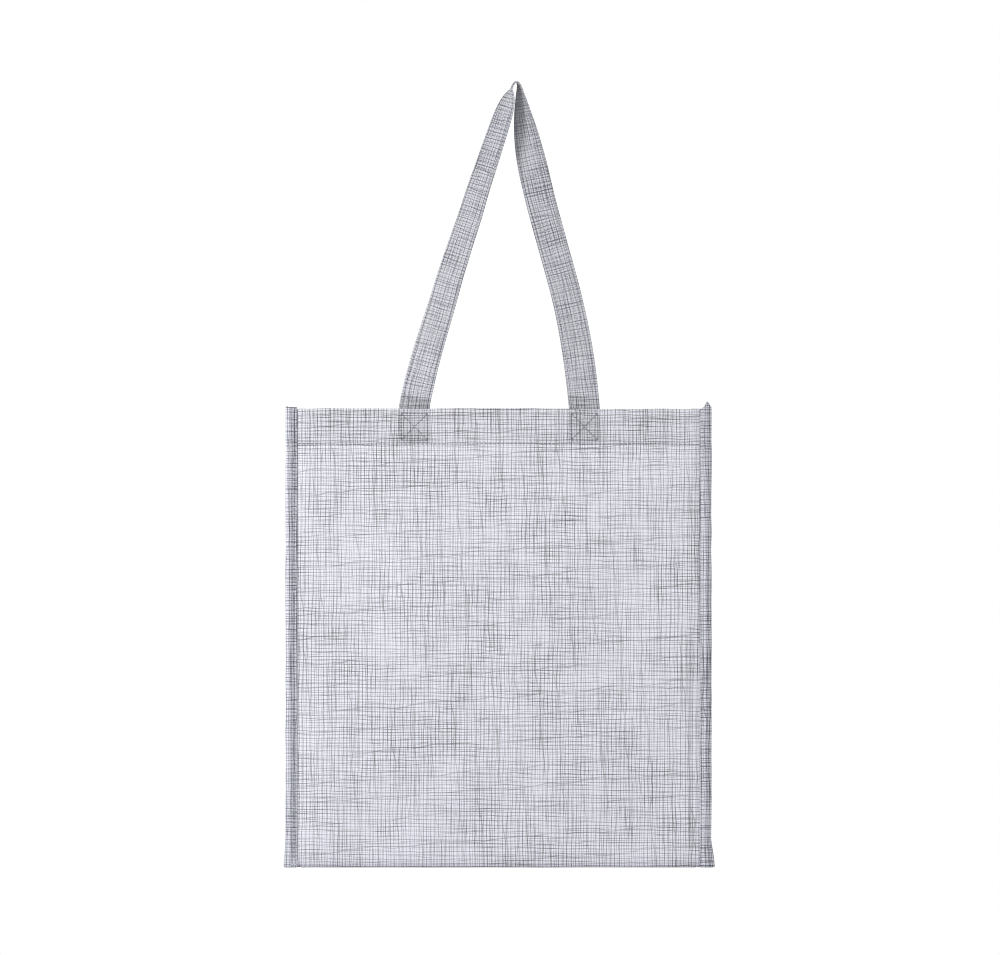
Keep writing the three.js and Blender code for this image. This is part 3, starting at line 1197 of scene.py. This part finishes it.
@dataclass
class SideBinding:
    """The folded strip over one upright seam, flaring a little where it turns under the bag."""

    sizes: Sizes
    face: Face
    side: Side
    finishes: Finishes

    WAVE_OUT = 0.28 * MM
    WAVE_PROUD = 0.22 * MM
    FLARE = {Side.LEFT: 1.7 * MM, Side.RIGHT: 2.6 * MM}
    GROUND = 0.4 * MM  # height of the strip's end over the ground
    # The top ends are cut by hand: how far each rises, and where across the strip.
    RISE = {Side.LEFT: (1.0 * MM, 1.0), Side.RIGHT: (4.4 * MM, 0.66)}
    DROP = {Side.LEFT: 0.0, Side.RIGHT: 1.3 * MM}  # of the free edge, level with the hem
    PRINT_START = 4.0

    def build(self) -> bpy.types.Object:
        """Makes the strip.

        Returns:
            The binding's object.
        """
        s = self.sizes
        section = SeamSection.points(self.side)
        name = f"{self.face.label}_{self.side.label}_binding"
        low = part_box(name)[0].z
        top = s.binding_top
        zs = spaced((low, 0), (low + 26 * MM, 14), (top - 12 * MM, 110), (top, 8))
        outward, proud = section[:, 0], section[:, 1]
        grid_out = np.broadcast_to(outward, (len(zs), len(section))).copy()
        grid_proud = np.broadcast_to(proud, grid_out.shape).copy()
        grid_z = np.broadcast_to(zs[:, None], grid_out.shape).copy()
        seed = 41 + 3 * self.face.value + self.side.value
        wave = Ripples(seed, 0.09, 0.02).at(grid_z, 0 * grid_z)
        share = grid_out / SeamSection.WIDTH
        shake = Ripples(seed + 9, 0.05, 0.012).at(grid_z, 0 * grid_z)
        grid_out += self.WAVE_OUT * wave * share
        grid_proud += self.WAVE_PROUD * shake * share
        # Near the ground the strip turns under and its rolled edge flares outwards.
        flare = smooth(low + 22 * MM, low, grid_z)
        grid_out += self.FLARE[self.side] * flare**1.3 * share**1.5
        grid_z -= (low - self.GROUND) * smooth(low + 14 * MM, low, grid_z)
        rise, peak = self.RISE[self.side]
        bulge = hill(share, peak, 0.20)
        end = smooth(top - 8 * MM, top, grid_z)
        grid_z += rise * bulge * end
        grid_z -= self.DROP[self.side] * smooth(0.5, 0.0, share) * end
        x = self.side.value * (s.half_width + grid_out)
        y = self.face.value * (s.half_depth + grid_proud)
        points = np.stack([x, y, grid_z], -1)
        across = travelled(section)
        offset = self.PRINT_START + 0.21 * self.side.value + 0.4 * self.face.value
        flat = np.stack([np.broadcast_to(across, x.shape) + offset, grid_z + 0.13], -1)
        # The strip's counted layers darken its stitch groove and rolled edge: painted shade.
        pressed_and_shaded = np.broadcast_to(SeamSection.pressed_and_shaded(self.side, section), x.shape)
        thing = Surface(points, flat, pressed_and_shaded).build(name + "_strip", self.finishes.binding)
        thicken(thing, BINDING_THICKNESS)
        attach(thing, self.face.label)
        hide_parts(name)
        return thing


@dataclass
class BaseBinding:
    """The same strip where it runs along one side of the base."""

    sizes: Sizes
    side: Side
    finishes: Finishes
    folder: FoldFlat

    SHORT = 4.0 * MM  # the upright strips' flared ends take up the rest
    MIDDLE = 2.25 * MM  # height of the seam's middle over the ground
    PRESS = 0.82  # the bag's weight presses the seam this much flatter
    GROUND = 0.25 * MM
    WAVE_OUT = 0.3 * MM
    FLARE = {Side.LEFT: 1.5 * MM, Side.RIGHT: 2.4 * MM}
    PRINT_START = 5.1

    def build(self) -> bpy.types.Object:
        """Makes the strip.

        Returns:
            The binding's object.
        """
        s = self.sizes
        section = SeamSection.points(self.side)
        name = f"{self.side.label}_base_binding"
        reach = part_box(name)[1].y - self.SHORT
        ys = spaced((-reach, 0), (reach, 60))
        outward, proud = section[:, 0], section[:, 1]
        grid_out = np.broadcast_to(outward, (len(ys), len(section))).copy()
        height = np.broadcast_to(self.MIDDLE + proud * self.PRESS, grid_out.shape).copy()
        grid_y = np.broadcast_to(ys[:, None], grid_out.shape).copy()
        share = grid_out / SeamSection.WIDTH
        wave = Ripples(71 + self.side.value, 0.08, 0.02).at(grid_y, 0 * grid_y)
        grid_out += self.WAVE_OUT * wave * share
        corner = smooth(reach - 16 * MM, reach, np.abs(grid_y))
        grid_out += self.FLARE[self.side] * corner**1.3 * share**1.5
        height = np.maximum(height, self.GROUND)
        points = np.stack([self.side.value * (s.half_width + grid_out), grid_y, height], -1)
        across = travelled(section)
        start = np.broadcast_to(across, grid_out.shape) + self.PRINT_START
        flat = np.stack([start, grid_y + 0.37], -1)
        # The strip's counted layers darken its stitch groove and rolled edge: painted shade.
        pressed_and_shaded = np.broadcast_to(SeamSection.pressed_and_shaded(self.side, section), grid_out.shape)
        thing = Surface(points, flat, pressed_and_shaded).build(name + "_strip", self.finishes.binding)
        thicken(thing, BINDING_THICKNESS)
        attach(thing, "back")
        self.folder.squash(thing)
        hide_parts(name)
        return thing


@dataclass
class GussetFin:
    """The edge of a gusset, turned outwards and held face to face with the body cloth."""

    sizes: Sizes
    side: Side
    finishes: Finishes
    face: Face | None = None
    folder: FoldFlat | None = None

    # From just inside the corner, round it and out into the binding: (outward, inward) in mm.
    SECTION = (
        (-0.30, 4.6),
        (-0.28, 3.4),
        (-0.10, 2.5),
        (0.6, 1.95),
        (2.0, 1.85),
        (5.0, 1.85),
        (8.3, 1.85),
    )
    GROUND = 0.4 * MM
    PRINT_START = 6.2

    def build(self) -> bpy.types.Object:
        """Makes the fin, upright beside a panel or flat along the base.

        Returns:
            The fin's object.
        """
        s = self.sizes
        line = SeamSection.refine(np.array(self.SECTION) * MM)
        node = f"{self.side.label}_gusset_{self.face.label if self.face else 'base'}_fin"
        low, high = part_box(node)
        if self.face is not None:
            runs = spaced((low.z, 0), (high.z - 0.4 * MM, 70))
        else:
            runs = spaced((low.y, 0), (high.y, 50))
        grid_run = np.broadcast_to(runs[:, None], (len(runs), len(line)))
        x = np.broadcast_to(self.side.value * (s.half_width + line[:, 0]), grid_run.shape)
        if self.face is not None:
            y = np.broadcast_to(self.face.value * (s.half_depth - line[:, 1]), grid_run.shape)
            points = np.stack([x, y, grid_run], -1)
        else:
            z = np.broadcast_to(self.GROUND + line[:, 1], grid_run.shape)
            points = np.stack([x, grid_run, z], -1)
        across = travelled(line)
        start = np.broadcast_to(across, grid_run.shape) + self.PRINT_START
        flat = np.stack([start, grid_run + 0.5], -1)
        thing = Surface(points, flat).build(node + "_edge", self.finishes.gusset)
        thicken(thing, FIN_THICKNESS)
        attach(thing, self.face.label if self.face is not None else "back")
        if self.folder is not None:
            self.folder.squash(thing)
        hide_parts(node)
        return thing


# ---- handles --------------------------------------------------------------------------------


@dataclass
class StrapLine:
    """The line of one handle: two legs that lean together and a tight bend at the top."""

    sizes: Sizes
    drop: float = 264 * MM  # from the top of the handle to the mouth
    lean: float = 13.4 * MM  # of the top, to the right of the middle
    top_gap: float = 7.7 * MM
    bend: float = 8.0 * MM  # height of the tight bend

    # How far the strap's face turns from the front, along each leg and then close to the top.
    LEFT_TURN, LEFT_TOP_TURN = math.radians(55), math.radians(35)
    RIGHT_TURN, RIGHT_TOP_TURN = math.radians(15), math.radians(75)

    def __post_init__(self) -> None:
        """Lays the line from the left tail over the top to the right tail."""
        s = self.sizes
        root_z = s.root_z
        bend_z = s.height + self.drop - self.bend
        rise = bend_z - root_z
        left, right = (-s.root_x, root_z), (s.root_x + s.drift, root_z)
        near = (self.lean - self.top_gap / 2, bend_z)
        far = (self.lean + self.top_gap / 2, bend_z)
        legs = [
            (
                left,
                (left[0] + 5.5 * MM, root_z + rise * 0.16),
                (near[0] - 10.5 * MM, root_z + rise * 0.875),
                near,
            ),
            (
                near,
                (near[0] + 2.6 * MM, bend_z + self.bend * 1.3),
                (far[0] - 0.4 * MM, bend_z + self.bend * 1.3),
                far,
            ),
            (
                far,
                (far[0] + 14.8 * MM, root_z + rise * 0.55),
                (right[0] - 8 * MM - s.drift, root_z + rise * 0.43),
                right,
            ),
        ]
        pieces = [self.bezier(np.array(leg), 400) for leg in legs]
        free = np.concatenate([pieces[0], pieces[1][1:], pieces[2][1:]])
        down = np.linspace(s.tail_bottom, root_z, 24)[:-1]
        left_tail = np.stack([np.full_like(down, left[0]), down], -1)
        right_tail = np.stack([np.full_like(down, right[0]), down[::-1]], -1)
        line = np.concatenate([left_tail, free, right_tail])
        self.reach = travelled(line)
        self.line = line
        self.length = float(self.reach[-1])
        self.tail = root_z - s.tail_bottom
        left_leg, bend_length = (float(travelled(piece)[-1]) for piece in pieces[:2])
        self.top = self.tail + left_leg + bend_length / 2

    @staticmethod
    def bezier(corners: Array, steps: int) -> Array:
        """Points on a cubic curve.

        Args:
            corners: Its four control points.
            steps: How many steps to take.

        Returns:
            The points.
        """
        t = np.linspace(0, 1, steps + 1)[:, None]
        a, b, c, d = corners
        return (1 - t) ** 3 * a + 3 * (1 - t) ** 2 * t * b + 3 * (1 - t) * t * t * c + t**3 * d

    def frames(self, along: Array) -> tuple[Array, Array, Array]:
        """Where the strap is and how it lies.

        Args:
            along: Distances from the left tail's end, in metres.

        Returns:
            Points, width directions and outward normals, one row for each distance.
        """
        spot = np.stack([np.interp(along, self.reach, self.line[:, i]) for i in (0, 1)], -1)
        ahead = np.stack(
            [
                np.interp(along + 0.8 * MM, self.reach, self.line[:, i])
                - np.interp(along - 0.8 * MM, self.reach, self.line[:, i])
                for i in (0, 1)
            ],
            -1,
        )
        ahead /= np.linalg.norm(ahead, axis=1)[:, None]
        tangent = np.stack([ahead[:, 0], np.zeros(len(ahead)), ahead[:, 1]], -1)
        free = self.length - 2 * self.tail
        along_free = along - self.tail
        middle = self.top - self.tail
        rising = along_free < middle
        up_share = np.clip(along_free / middle, 0, 1)
        down_share = np.clip((free - along_free) / (free - middle), 0, 1)
        turn = np.where(
            rising,
            self.LEFT_TURN * up_share**0.55
            + self.LEFT_TOP_TURN * np.clip(up_share / 0.975, 0, 1) ** 30,
            self.RIGHT_TURN * smooth(0.10, 0.32, down_share)
            + self.RIGHT_TOP_TURN * np.clip((down_share - 0.72) / 0.28, 0, 1) ** 1.3,
        )
        from_root = np.minimum(along_free, free - along_free)
        level = 1 - smooth(0, self.sizes.strap_width, from_root)
        across = np.stack([tangent[:, 2], np.zeros(len(ahead)), -tangent[:, 0]], -1)
        flat_way = np.stack(
            [np.sign(tangent[:, 2]), np.zeros(len(ahead)), np.zeros(len(ahead))], -1
        )
        across = across * (1 - level[:, None]) + flat_way * level[:, None]
        across /= np.linalg.norm(across, axis=1)[:, None]
        width = across * np.cos(turn)[:, None]
        width[:, 1] = np.where(rising, -1, 1) * np.sin(turn)
        width[~rising] *= -1
        normal = np.cross(tangent, width)
        normal /= np.linalg.norm(normal, axis=1)[:, None]
        points = np.stack([spot[:, 0], np.zeros(len(spot)), spot[:, 1]], -1)
        return points, width, normal


@dataclass
class Handle:
    """One strap with both its tails, bending where it leaves the hem."""

    sizes: Sizes
    face: Face
    finishes: Finishes

    BEND_FROM = 0.4 * MM  # above the hem
    BEND_TO = 9.0 * MM
    EDGE_LINE = 2.2 * MM  # from the strap's edge to its stitching
    DIP = 0.22 * MM  # along that stitching
    ROUND = 0.1 * MM  # of the folded edges
    CUP = 0.35 * MM
    WAVE = 0.45 * MM
    PRINT_START = {Face.FRONT: 7.9, Face.BACK: 8.1}
    # Layers counted for the strap's tone: at the root, further up, and in the crease above the
    # hem. The rise further up is painted shade, where the legs turn away from the light.
    LAYERS_ROOT, LAYERS_MORE, LAYERS_CREASE = 0.6, 1.7, 2.6
    CREASE, CREASE_SLANT = 9.0 * MM, 0.13
    BEDDED = 0.12 * MM  # how far the edge stitches lie below the strap's face

    def section(self) -> Array:
        """The strap's section, flat with soft edges: (across, out) in metres.

        Returns:
            Points round the section.
        """
        half, thick = self.sizes.strap_width / 2, STRAP_THICKNESS / 2
        across = np.linspace(-half + 0.5 * MM, half - 0.5 * MM, 15)
        # Folded edges are a little thicker than the middle, with a dip along each stitch line.
        dip = self.DIP * hill(np.abs(across), half - self.EDGE_LINE, 0.7 * MM)
        upper = np.stack([across, np.full_like(across, thick) - dip], -1)
        shoulder = half - self.ROUND
        round_off = np.array([[shoulder, thick * 0.6], [half, 0.0], [shoulder, -thick * 0.6]])
        lower = np.stack([across[::-1], -(np.full_like(across, thick) - dip)], -1)
        other = -round_off
        return np.concatenate([upper, round_off, lower, other])

    def place(self, line: StrapLine, along: Array, across: Array, out: Array) -> Array:
        """Places on the strap.

        Args:
            line: The handle's line.
            along: Distances from the left tail's end, in metres, one for each row.
            across: Offsets across the strap, in metres, one or one for each column.
            out: Offsets out of its face, in metres, the same shape as across.

        Returns:
            Points in the row frame, rows by columns.
        """
        points, width, normal = line.frames(along)
        # A strap that turns edge-on also cups a little across its width.
        turned = np.abs(width[:, 1])
        half = self.sizes.strap_width / 2
        cup = self.CUP * turned[:, None] * (np.asarray(across)[None, :] / half) ** 2
        wave = self.WAVE * Ripples(83, 0.12, 0.03).at(along, 0 * along)
        calm = smooth(line.tail, line.tail + 40 * MM, np.minimum(along, line.length - along))
        lift = np.asarray(out)[None, :] + cup + (wave * calm)[:, None]
        spread = width[:, None, :] * np.asarray(across)[None, :, None]
        spot = points[:, None, :] + spread + normal[:, None, :] * lift[..., None]
        spot[..., 1] += self.face.value * self.sizes.strap_y
        return spot

    def build(self, line: StrapLine) -> list[bpy.types.Object]:
        """Makes the strap and the stitching along its edges.

        Args:
            line: The handle's line.

        Returns:
            The strap and its stitching.
        """
        label = self.face.label
        section = self.section()
        along = spaced(
            (0.0, 0),
            (line.tail, 14),
            (line.tail + 14 * MM, 18),
            (line.top - 30 * MM, 110),
            (line.top + 30 * MM, 60),
            (line.length - line.tail - 14 * MM, 110),
            (line.length - line.tail, 18),
            (line.length, 14),
        )
        points = self.place(line, along, section[:, 0], section[:, 1])
        girth = travelled(section)
        flat = np.stack(
            [
                np.broadcast_to(girth + self.PRINT_START[self.face], points.shape[:2]),
                np.broadcast_to(along[:, None], points.shape[:2]),
            ],
            -1,
        )
        # Just above the hem the strap is creased and doubled, up to a slanting edge, and drawn
        # darker there for the doubled cloth and for painted shade under the fold.
        above = np.minimum(along, line.length - along)[:, None] - line.tail
        # Further up the legs the strap is drawn darker: painted shade where they turn away from
        # the light.
        layers_and_shade = self.LAYERS_ROOT + self.LAYERS_MORE * smooth(20 * MM, 60 * MM, above)
        creased = above < self.CREASE - self.CREASE_SLANT * section[:, 0][None, :]
        layers_and_shade = layers_and_shade + self.LAYERS_CREASE * creased
        strap = Surface(points, flat, layers_and_shade, closed_across=True).build(
            f"{label}_strap", self.finishes.strap
        )
        self.close_ends(strap, len(section), len(along))
        self.hinge(strap)
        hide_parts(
            f"{label}_handle", f"{label}_left_handle_tail", f"{label}_right_handle_tail"
        )
        half = self.sizes.strap_width / 2
        runs = []
        for across in (-half + self.EDGE_LINE, half - self.EDGE_LINE):
            for out in (STRAP_THICKNESS / 2 - self.BEDDED, -STRAP_THICKNESS / 2 + self.BEDDED):
                track = spaced((1 * MM, 0), (line.length - 1 * MM, 900))
                spots = self.place(line, track, np.array([across]), np.array([out]))[:, 0]
                lift = self.place(line, track, np.array([across]), np.array([out * 2]))[:, 0]
                runs.append((spots, lift - spots))
        name = f"{label}_strap_edge_stitches"
        thread = StitchRun(name, self.finishes.fine_thread, pitch=3.0 * MM, thread=0.36 * MM)
        stitched = thread.build(runs)
        self.hinge(stitched)
        return [strap, stitched]

    @staticmethod
    def close_ends(strap: bpy.types.Object, columns: int, rows: int) -> None:
        """Fills the two cut ends of the strap.

        Args:
            strap: The strap's object.
            columns: Points round its section.
            rows: Sections along it.
        """
        mesh = bmesh.new()
        mesh.from_mesh(strap.data)
        mesh.verts.ensure_lookup_table()
        first = [mesh.verts[i] for i in range(columns)]
        last = [mesh.verts[(rows - 1) * columns + i] for i in range(columns)]
        mesh.faces.new(first[::-1])
        mesh.faces.new(last)
        bmesh.ops.recalc_face_normals(mesh, faces=mesh.faces)
        mesh.to_mesh(strap.data)
        mesh.free()

    def hinge(self, thing: bpy.types.Object) -> None:
        """Bakes a piece's placement into its mesh.

        Args:
            thing: The strap or something on it.
        """
        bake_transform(thing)


# ---- stitching ------------------------------------------------------------------------------


@dataclass
class StitchRun:
    """Runs of lockstitch: each stitch is a short length of thread that dives in at both ends."""

    name: str
    material: bpy.types.Material
    pitch: float = 3.4 * MM
    gap: float = 0.55 * MM
    thread: float = 0.55 * MM

    SIDES = 6
    STATIONS = 5
    ARCH = 0.62  # how far a stitch's middle stands up, in thread widths
    SUNK = 0.12  # how far its ends dive in
    THIN = 0.55  # how thin its ends are drawn

    def build(self, runs: Sequence[tuple[Array, Array]]) -> bpy.types.Object:
        """Makes every stitch of the runs as one mesh.

        Args:
            runs: For each run, the points along it and the outward direction at each point.

        Returns:
            The stitches' object.
        """
        vertices: list[Array] = []
        faces: list[list[int]] = []
        count = 0
        for line, out in runs:
            out = out / np.maximum(np.linalg.norm(out, axis=1), 1e-9)[:, None]
            reach = travelled(line)
            stitches = max(1, int(reach[-1] // self.pitch))
            pitch = reach[-1] / stitches
            for i in range(stitches):
                low, high = i * pitch + self.gap / 2, (i + 1) * pitch - self.gap / 2
                at = np.linspace(low, high, self.STATIONS)
                centre = np.stack([np.interp(at, reach, line[:, k]) for k in range(3)], -1)
                up = np.stack([np.interp(at, reach, out[:, k]) for k in range(3)], -1)
                ahead = centre[-1] - centre[0]
                ahead /= np.linalg.norm(ahead)
                share = np.linspace(0, 1, self.STATIONS)
                arch = np.sin(np.pi * share)
                height = self.thread * (self.ARCH * arch - self.SUNK)
                centre = centre + up * height[:, None]
                side = np.cross(ahead, up)
                size = self.thread / 2 * (self.THIN + (1 - self.THIN) * arch)
                for k in range(self.SIDES):
                    angle = 2 * math.pi * k / self.SIDES
                    ring = side * math.cos(angle) + up * math.sin(angle)
                    vertices.append(centre + ring * size[:, None])
                block = count
                for a in range(self.STATIONS - 1):
                    for k in range(self.SIDES):
                        m = (k + 1) % self.SIDES
                        faces.append(
                            [
                                block + k * self.STATIONS + a,
                                block + k * self.STATIONS + a + 1,
                                block + m * self.STATIONS + a + 1,
                                block + m * self.STATIONS + a,
                            ]
                        )
                for end in (0, self.STATIONS - 1):
                    cap = [block + k * self.STATIONS + end for k in range(self.SIDES)]
                    faces.append(cap if end == 0 else cap[::-1])
                count += self.SIDES * self.STATIONS
        mesh = bpy.data.meshes.new(self.name)
        mesh.from_pydata(np.concatenate(vertices).tolist(), [], faces)
        mesh.polygons.foreach_set("use_smooth", np.ones(len(mesh.polygons), bool))
        mesh.materials.append(self.material)
        mesh.update()
        thing = bpy.data.objects.new(self.name, mesh)
        bpy.context.scene.collection.objects.link(thing)
        return thing


@dataclass
class PanelStitching:
    """The hem line and the two boxed crosses that show on one panel."""

    sizes: Sizes
    panel: BodyPanel
    finishes: Finishes

    SURFACE = 0.3 * MM
    MARGIN = 0.6 * MM  # from the cross's box to the middle of its thread
    HEM_DROP = 1.4 * MM
    HEM_WAVE = 0.55 * MM
    CROSS_PITCH = 2.8 * MM

    def run(self, x: Array, z: Array) -> tuple[Array, Array]:
        """A run of stitches laid on the panel.

        Args:
            x: Places across, in metres.
            z: Heights, in metres.

        Returns:
            The points and the outward direction at each.
        """
        points = self.panel.point(x, z, np.full_like(x, self.SURFACE))
        out = np.zeros_like(points)
        out[:, 1] = self.panel.face.value
        return points, out

    def build(self) -> list[bpy.types.Object]:
        """Makes the hem stitching and the crosses.

        Returns:
            Three objects.
        """
        s = self.sizes
        label = self.panel.face.label
        xs = np.linspace(-s.half_width + 0.5 * MM, s.half_width - 0.5 * MM, 600)
        hem_z = (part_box(f"{label}_hem_stitch")[0].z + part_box(f"{label}_hem_stitch")[1].z) / 2
        wave = self.HEM_WAVE * Ripples(97, 0.16, 0.05).at(xs, 0 * xs)
        hem = StitchRun(f"{label}_hem_stitches", self.finishes.thread).build(
            [self.run(xs, hem_z - self.HEM_DROP + wave)]
        )
        made = [(hem, f"{label}_hem_stitch")]
        for side in Side:
            node = f"{label}_{side.label}_boxed_cross"
            low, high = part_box(node)
            drift = s.drift if side is Side.RIGHT else 0.0
            x0, x1 = low.x + self.MARGIN + drift, high.x - self.MARGIN + drift
            z0, z1 = low.z + self.MARGIN, high.z - self.MARGIN
            corners = [
                ((x0, z0), (x1, z0)),
                ((x1, z0), (x1, z1)),
                ((x1, z1), (x0, z1)),
                ((x0, z1), (x0, z0)),
                ((x0, z0), (x1, z1)),
                ((x0, z1), (x1, z0)),
            ]
            runs = []
            for a, b in corners:
                share = np.linspace(0, 1, 40)
                x = a[0] + (b[0] - a[0]) * share
                z = a[1] + (b[1] - a[1]) * share
                runs.append(self.run(x, z))
            name = node + "_stitches"
            cross = StitchRun(name, self.finishes.thread, pitch=self.CROSS_PITCH).build(runs)
            made.append((cross, node))
        for thing, node in made:
            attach(thing, label)
            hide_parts(node)
        return [thing for thing, _ in made]


@dataclass
class SeamStitching:
    """The stitching that closes a binding, along a panel's edge or along the base."""

    sizes: Sizes
    side: Side
    finishes: Finishes
    face: Face | None = None
    folder: FoldFlat | None = None

    LINE = 2.6 * MM  # outward from the gusset's face, at the bottom of the groove
    DEPTH = 0.45 * MM  # of the groove behind the panel's face
    BASE_LINE = 1.95 * MM  # height of the base's groove over the ground

    def build(self) -> bpy.types.Object:
        """Makes the stitches.

        Returns:
            The stitches' object.
        """
        s = self.sizes
        x = self.side.value * (s.half_width + self.LINE)
        if self.face is not None:
            node = f"{self.face.label}_{self.side.label}_binding_stitch"
            low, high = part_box(node)
            z = np.linspace(low.z + 3 * MM, high.z - 2 * MM, 500)
            y = np.full_like(z, self.face.value * (s.half_depth - self.DEPTH))
            line = np.stack([np.full_like(z, x), y, z], -1)
            out = np.zeros_like(line)
            out[:, 1] = self.face.value
        else:
            node = f"{self.side.label}_base_binding_stitch"
            low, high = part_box(node)
            y = np.linspace(low.y + 3 * MM, high.y - 3 * MM, 300)
            line = np.stack([np.full_like(y, x), y, np.full_like(y, self.BASE_LINE)], -1)
            out = np.zeros_like(line)
            out[:, 2] = 1.0
        thing = StitchRun(node + "es", self.finishes.thread).build([(line, out)])
        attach(thing, self.face.label if self.face is not None else "back")
        if self.folder is not None:
            self.folder.squash(thing)
        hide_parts(node)
        return thing


@dataclass
class GussetStitching:
    """The hem stitching on one half of a gusset."""

    gusset: Gusset
    face: Face
    finishes: Finishes

    def build(self) -> bpy.types.Object:
        """Makes the stitches.

        Returns:
            The stitches' object.
        """
        label = self.gusset.side.label
        node = f"{label}_gusset_{self.face.label}_hem_stitch"
        low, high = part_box(node)
        inner, outer = sorted((abs(low.y), abs(high.y)))
        ys = self.face.value * np.linspace(inner, outer + 5 * MM, 200)
        zs = np.full_like(ys, (low.z + high.z) / 2 - PanelStitching.HEM_DROP)
        points = self.gusset.point(ys, zs, np.full_like(ys, PanelStitching.SURFACE))
        out = np.zeros_like(points)
        out[:, 0] = self.gusset.side.value
        thing = StitchRun(node + "es", self.finishes.thread).build([(points, out)])
        half = "front" if self.face is Face.FRONT else "rear"
        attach(thing, f"{label}_gusset_{half}_half")
        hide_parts(node)
        return thing


# ---- the studio -----------------------------------------------------------------------------


@dataclass
class Studio:
    """A pale floor, a white surround and soft lights from the upper left."""

    sizes: Sizes

    VIEW_WIDTH = 0.807  # metres across the frame
    CENTRE = (1.2 * MM, 314.7 * MM)
    DISTANCE = 3.0
    SURROUND = (0.62, 1.0)  # how bright the surround is as a light, and as it is seen
    # Place, side in metres and power in watts of each soft light.
    LIGHTS = {
        "key_upper_left": ((-1.45, -1.15, 1.25), 0.7, 18.5),
        "fill_front": ((0.3, -2.6, 0.9), 1.6, 4.5),
    }
    FLOOR_SIDE = 6.0

    def camera(self) -> None:
        """Looks straight at the front with no perspective."""
        data = bpy.data.cameras.new("front_view")
        data.type = "ORTHO"
        data.ortho_scale = self.VIEW_WIDTH
        camera = bpy.data.objects.new("front_view", data)
        camera.location = (self.CENTRE[0], -self.DISTANCE, self.CENTRE[1])
        camera.rotation_euler = (math.radians(90), 0, 0)
        bpy.context.scene.collection.objects.link(camera)
        bpy.context.scene.camera = camera

    def world(self) -> None:
        """A white surround that lights the bag softly from everywhere."""
        world = bpy.data.worlds.new("white_surround")
        bpy.context.scene.world = world
        world.use_nodes = True
        nodes = Nodes(world.node_tree)
        seen = nodes.add("LightPath").outputs["Is Camera Ray"]
        strength = nodes.remap(seen, 0.0, 1.0, *self.SURROUND)
        background = world.node_tree.nodes["Background"]
        background.inputs["Color"].default_value = (1.0, 1.0, 1.0, 1.0)
        world.node_tree.links.new(strength, background.inputs["Strength"])

    def area(self, name: str, place: Sequence[float], size: float, power: float) -> None:
        """Adds a square soft light that looks at the bag's middle.

        Args:
            name: The light's name.
            place: Where it stands, in metres.
            size: Its side, in metres.
            power: Its power, in watts.
        """
        data = bpy.data.lights.new(name, "AREA")
        data.shape = "SQUARE"
        data.size = size
        data.energy = power
        light = bpy.data.objects.new(name, data)
        light.location = place
        aim = Vector((0, 0, self.sizes.height * 0.7)) - light.location
        light.rotation_euler = aim.to_track_quat("-Z", "Y").to_euler()
        bpy.context.scene.collection.objects.link(light)

    def floor(self, finish: StudioFloor) -> None:
        """Lays the floor.

        Args:
            finish: Its material.
        """
        mesh = bpy.data.meshes.new("studio_floor")
        side = self.FLOOR_SIDE
        mesh.from_pydata(
            [(-side, -side, 0), (side, -side, 0), (side, side, 0), (-side, side, 0)],
            [],
            [(0, 1, 2, 3)],
        )
        mesh.materials.append(finish.build())
        floor = bpy.data.objects.new("studio_floor", mesh)
        bpy.context.scene.collection.objects.link(floor)

    def build(self) -> None:
        """Sets up camera, lights, surround and floor."""
        scene = bpy.context.scene
        scene.view_settings.view_transform = "Standard"
        scene.view_settings.look = "None"
        scene.cycles.filter_width = 1.0  # keeps the fine print crisp
        self.camera()
        self.world()
        for name, (place, size, power) in self.LIGHTS.items():
            self.area(name, place, size, power)
        self.floor(StudioFloor("matt_white_floor"))


def build_finishes() -> Finishes:
    """Makes the materials.

    Returns:
        The materials that the pieces share.
    """
    hatch = HatchGroup()
    cloths = {
        # The roll's own cloth: cool white with a neutral grey print.
        "panel": PrintedCloth("printed_spunbond_polypropylene"),
        # The same cloth from a roll that took a trace more ink.
        "gusset": PrintedCloth("printed_spunbond_gusset", shade=0.98),
        # Strips folded over the seams, with a denser print and a tone set a little darker all
        # over: painted shade for their grooves and rolled edges.
        "binding": PrintedCloth("printed_binding_strip", ink="666974", shade=0.96),
        # Four layers under tension: the white ground loses its glow and the print looks denser.
        "strap": PrintedCloth("printed_folded_strap", "e1e2e9", "696a74", 0.96),
    }
    return Finishes(
        **{use: cloth.build(hatch) for use, cloth in cloths.items()},
        thread=SewingThread("grey_polyester_thread").build(),
        fine_thread=SewingThread("fine_grey_thread", colour="8e919c").build(),
    )


def report(*pieces: bpy.types.Object) -> None:
    """Logs the pieces that a builder has made.

    Args:
        *pieces: The new pieces.
    """
    for piece in pieces:
        LOG.info("%s: %d faces", piece.name, len(piece.data.polygons))


def main() -> None:
    """Builds the bag in order and reports each piece."""
    logging.basicConfig(level=logging.INFO, format="%(name)s: %(message)s")
    sizes = Sizes.read()
    Studio(sizes).build()
    finishes = build_finishes()
    folder = FoldFlat()
    LOG.info("the front panel folds back by %.1f mm", folder.travel / MM)

    for face in Face:
        panel = BodyPanel(sizes, face, finishes)
        report(panel.build())
        report(*PanelStitching(sizes, panel, finishes).build())
        report(*Handle(sizes, face, finishes).build(StrapLine(sizes)))

    report(BaseCloth(sizes, finishes, folder).build())
    for side in Side:
        gusset = Gusset(sizes, side, finishes)
        report(gusset.build())
        report(BaseBinding(sizes, side, finishes, folder).build())
        report(GussetFin(sizes, side, finishes, folder=folder).build())
        report(SeamStitching(sizes, side, finishes, folder=folder).build())
        for face in Face:
            report(SideBinding(sizes, face, side, finishes).build())
            report(GussetFin(sizes, side, finishes, face=face).build())
            report(SeamStitching(sizes, side, finishes, face=face).build())
            report(GussetStitching(gusset, face, finishes).build())


if __name__ == "__main__":
    main()
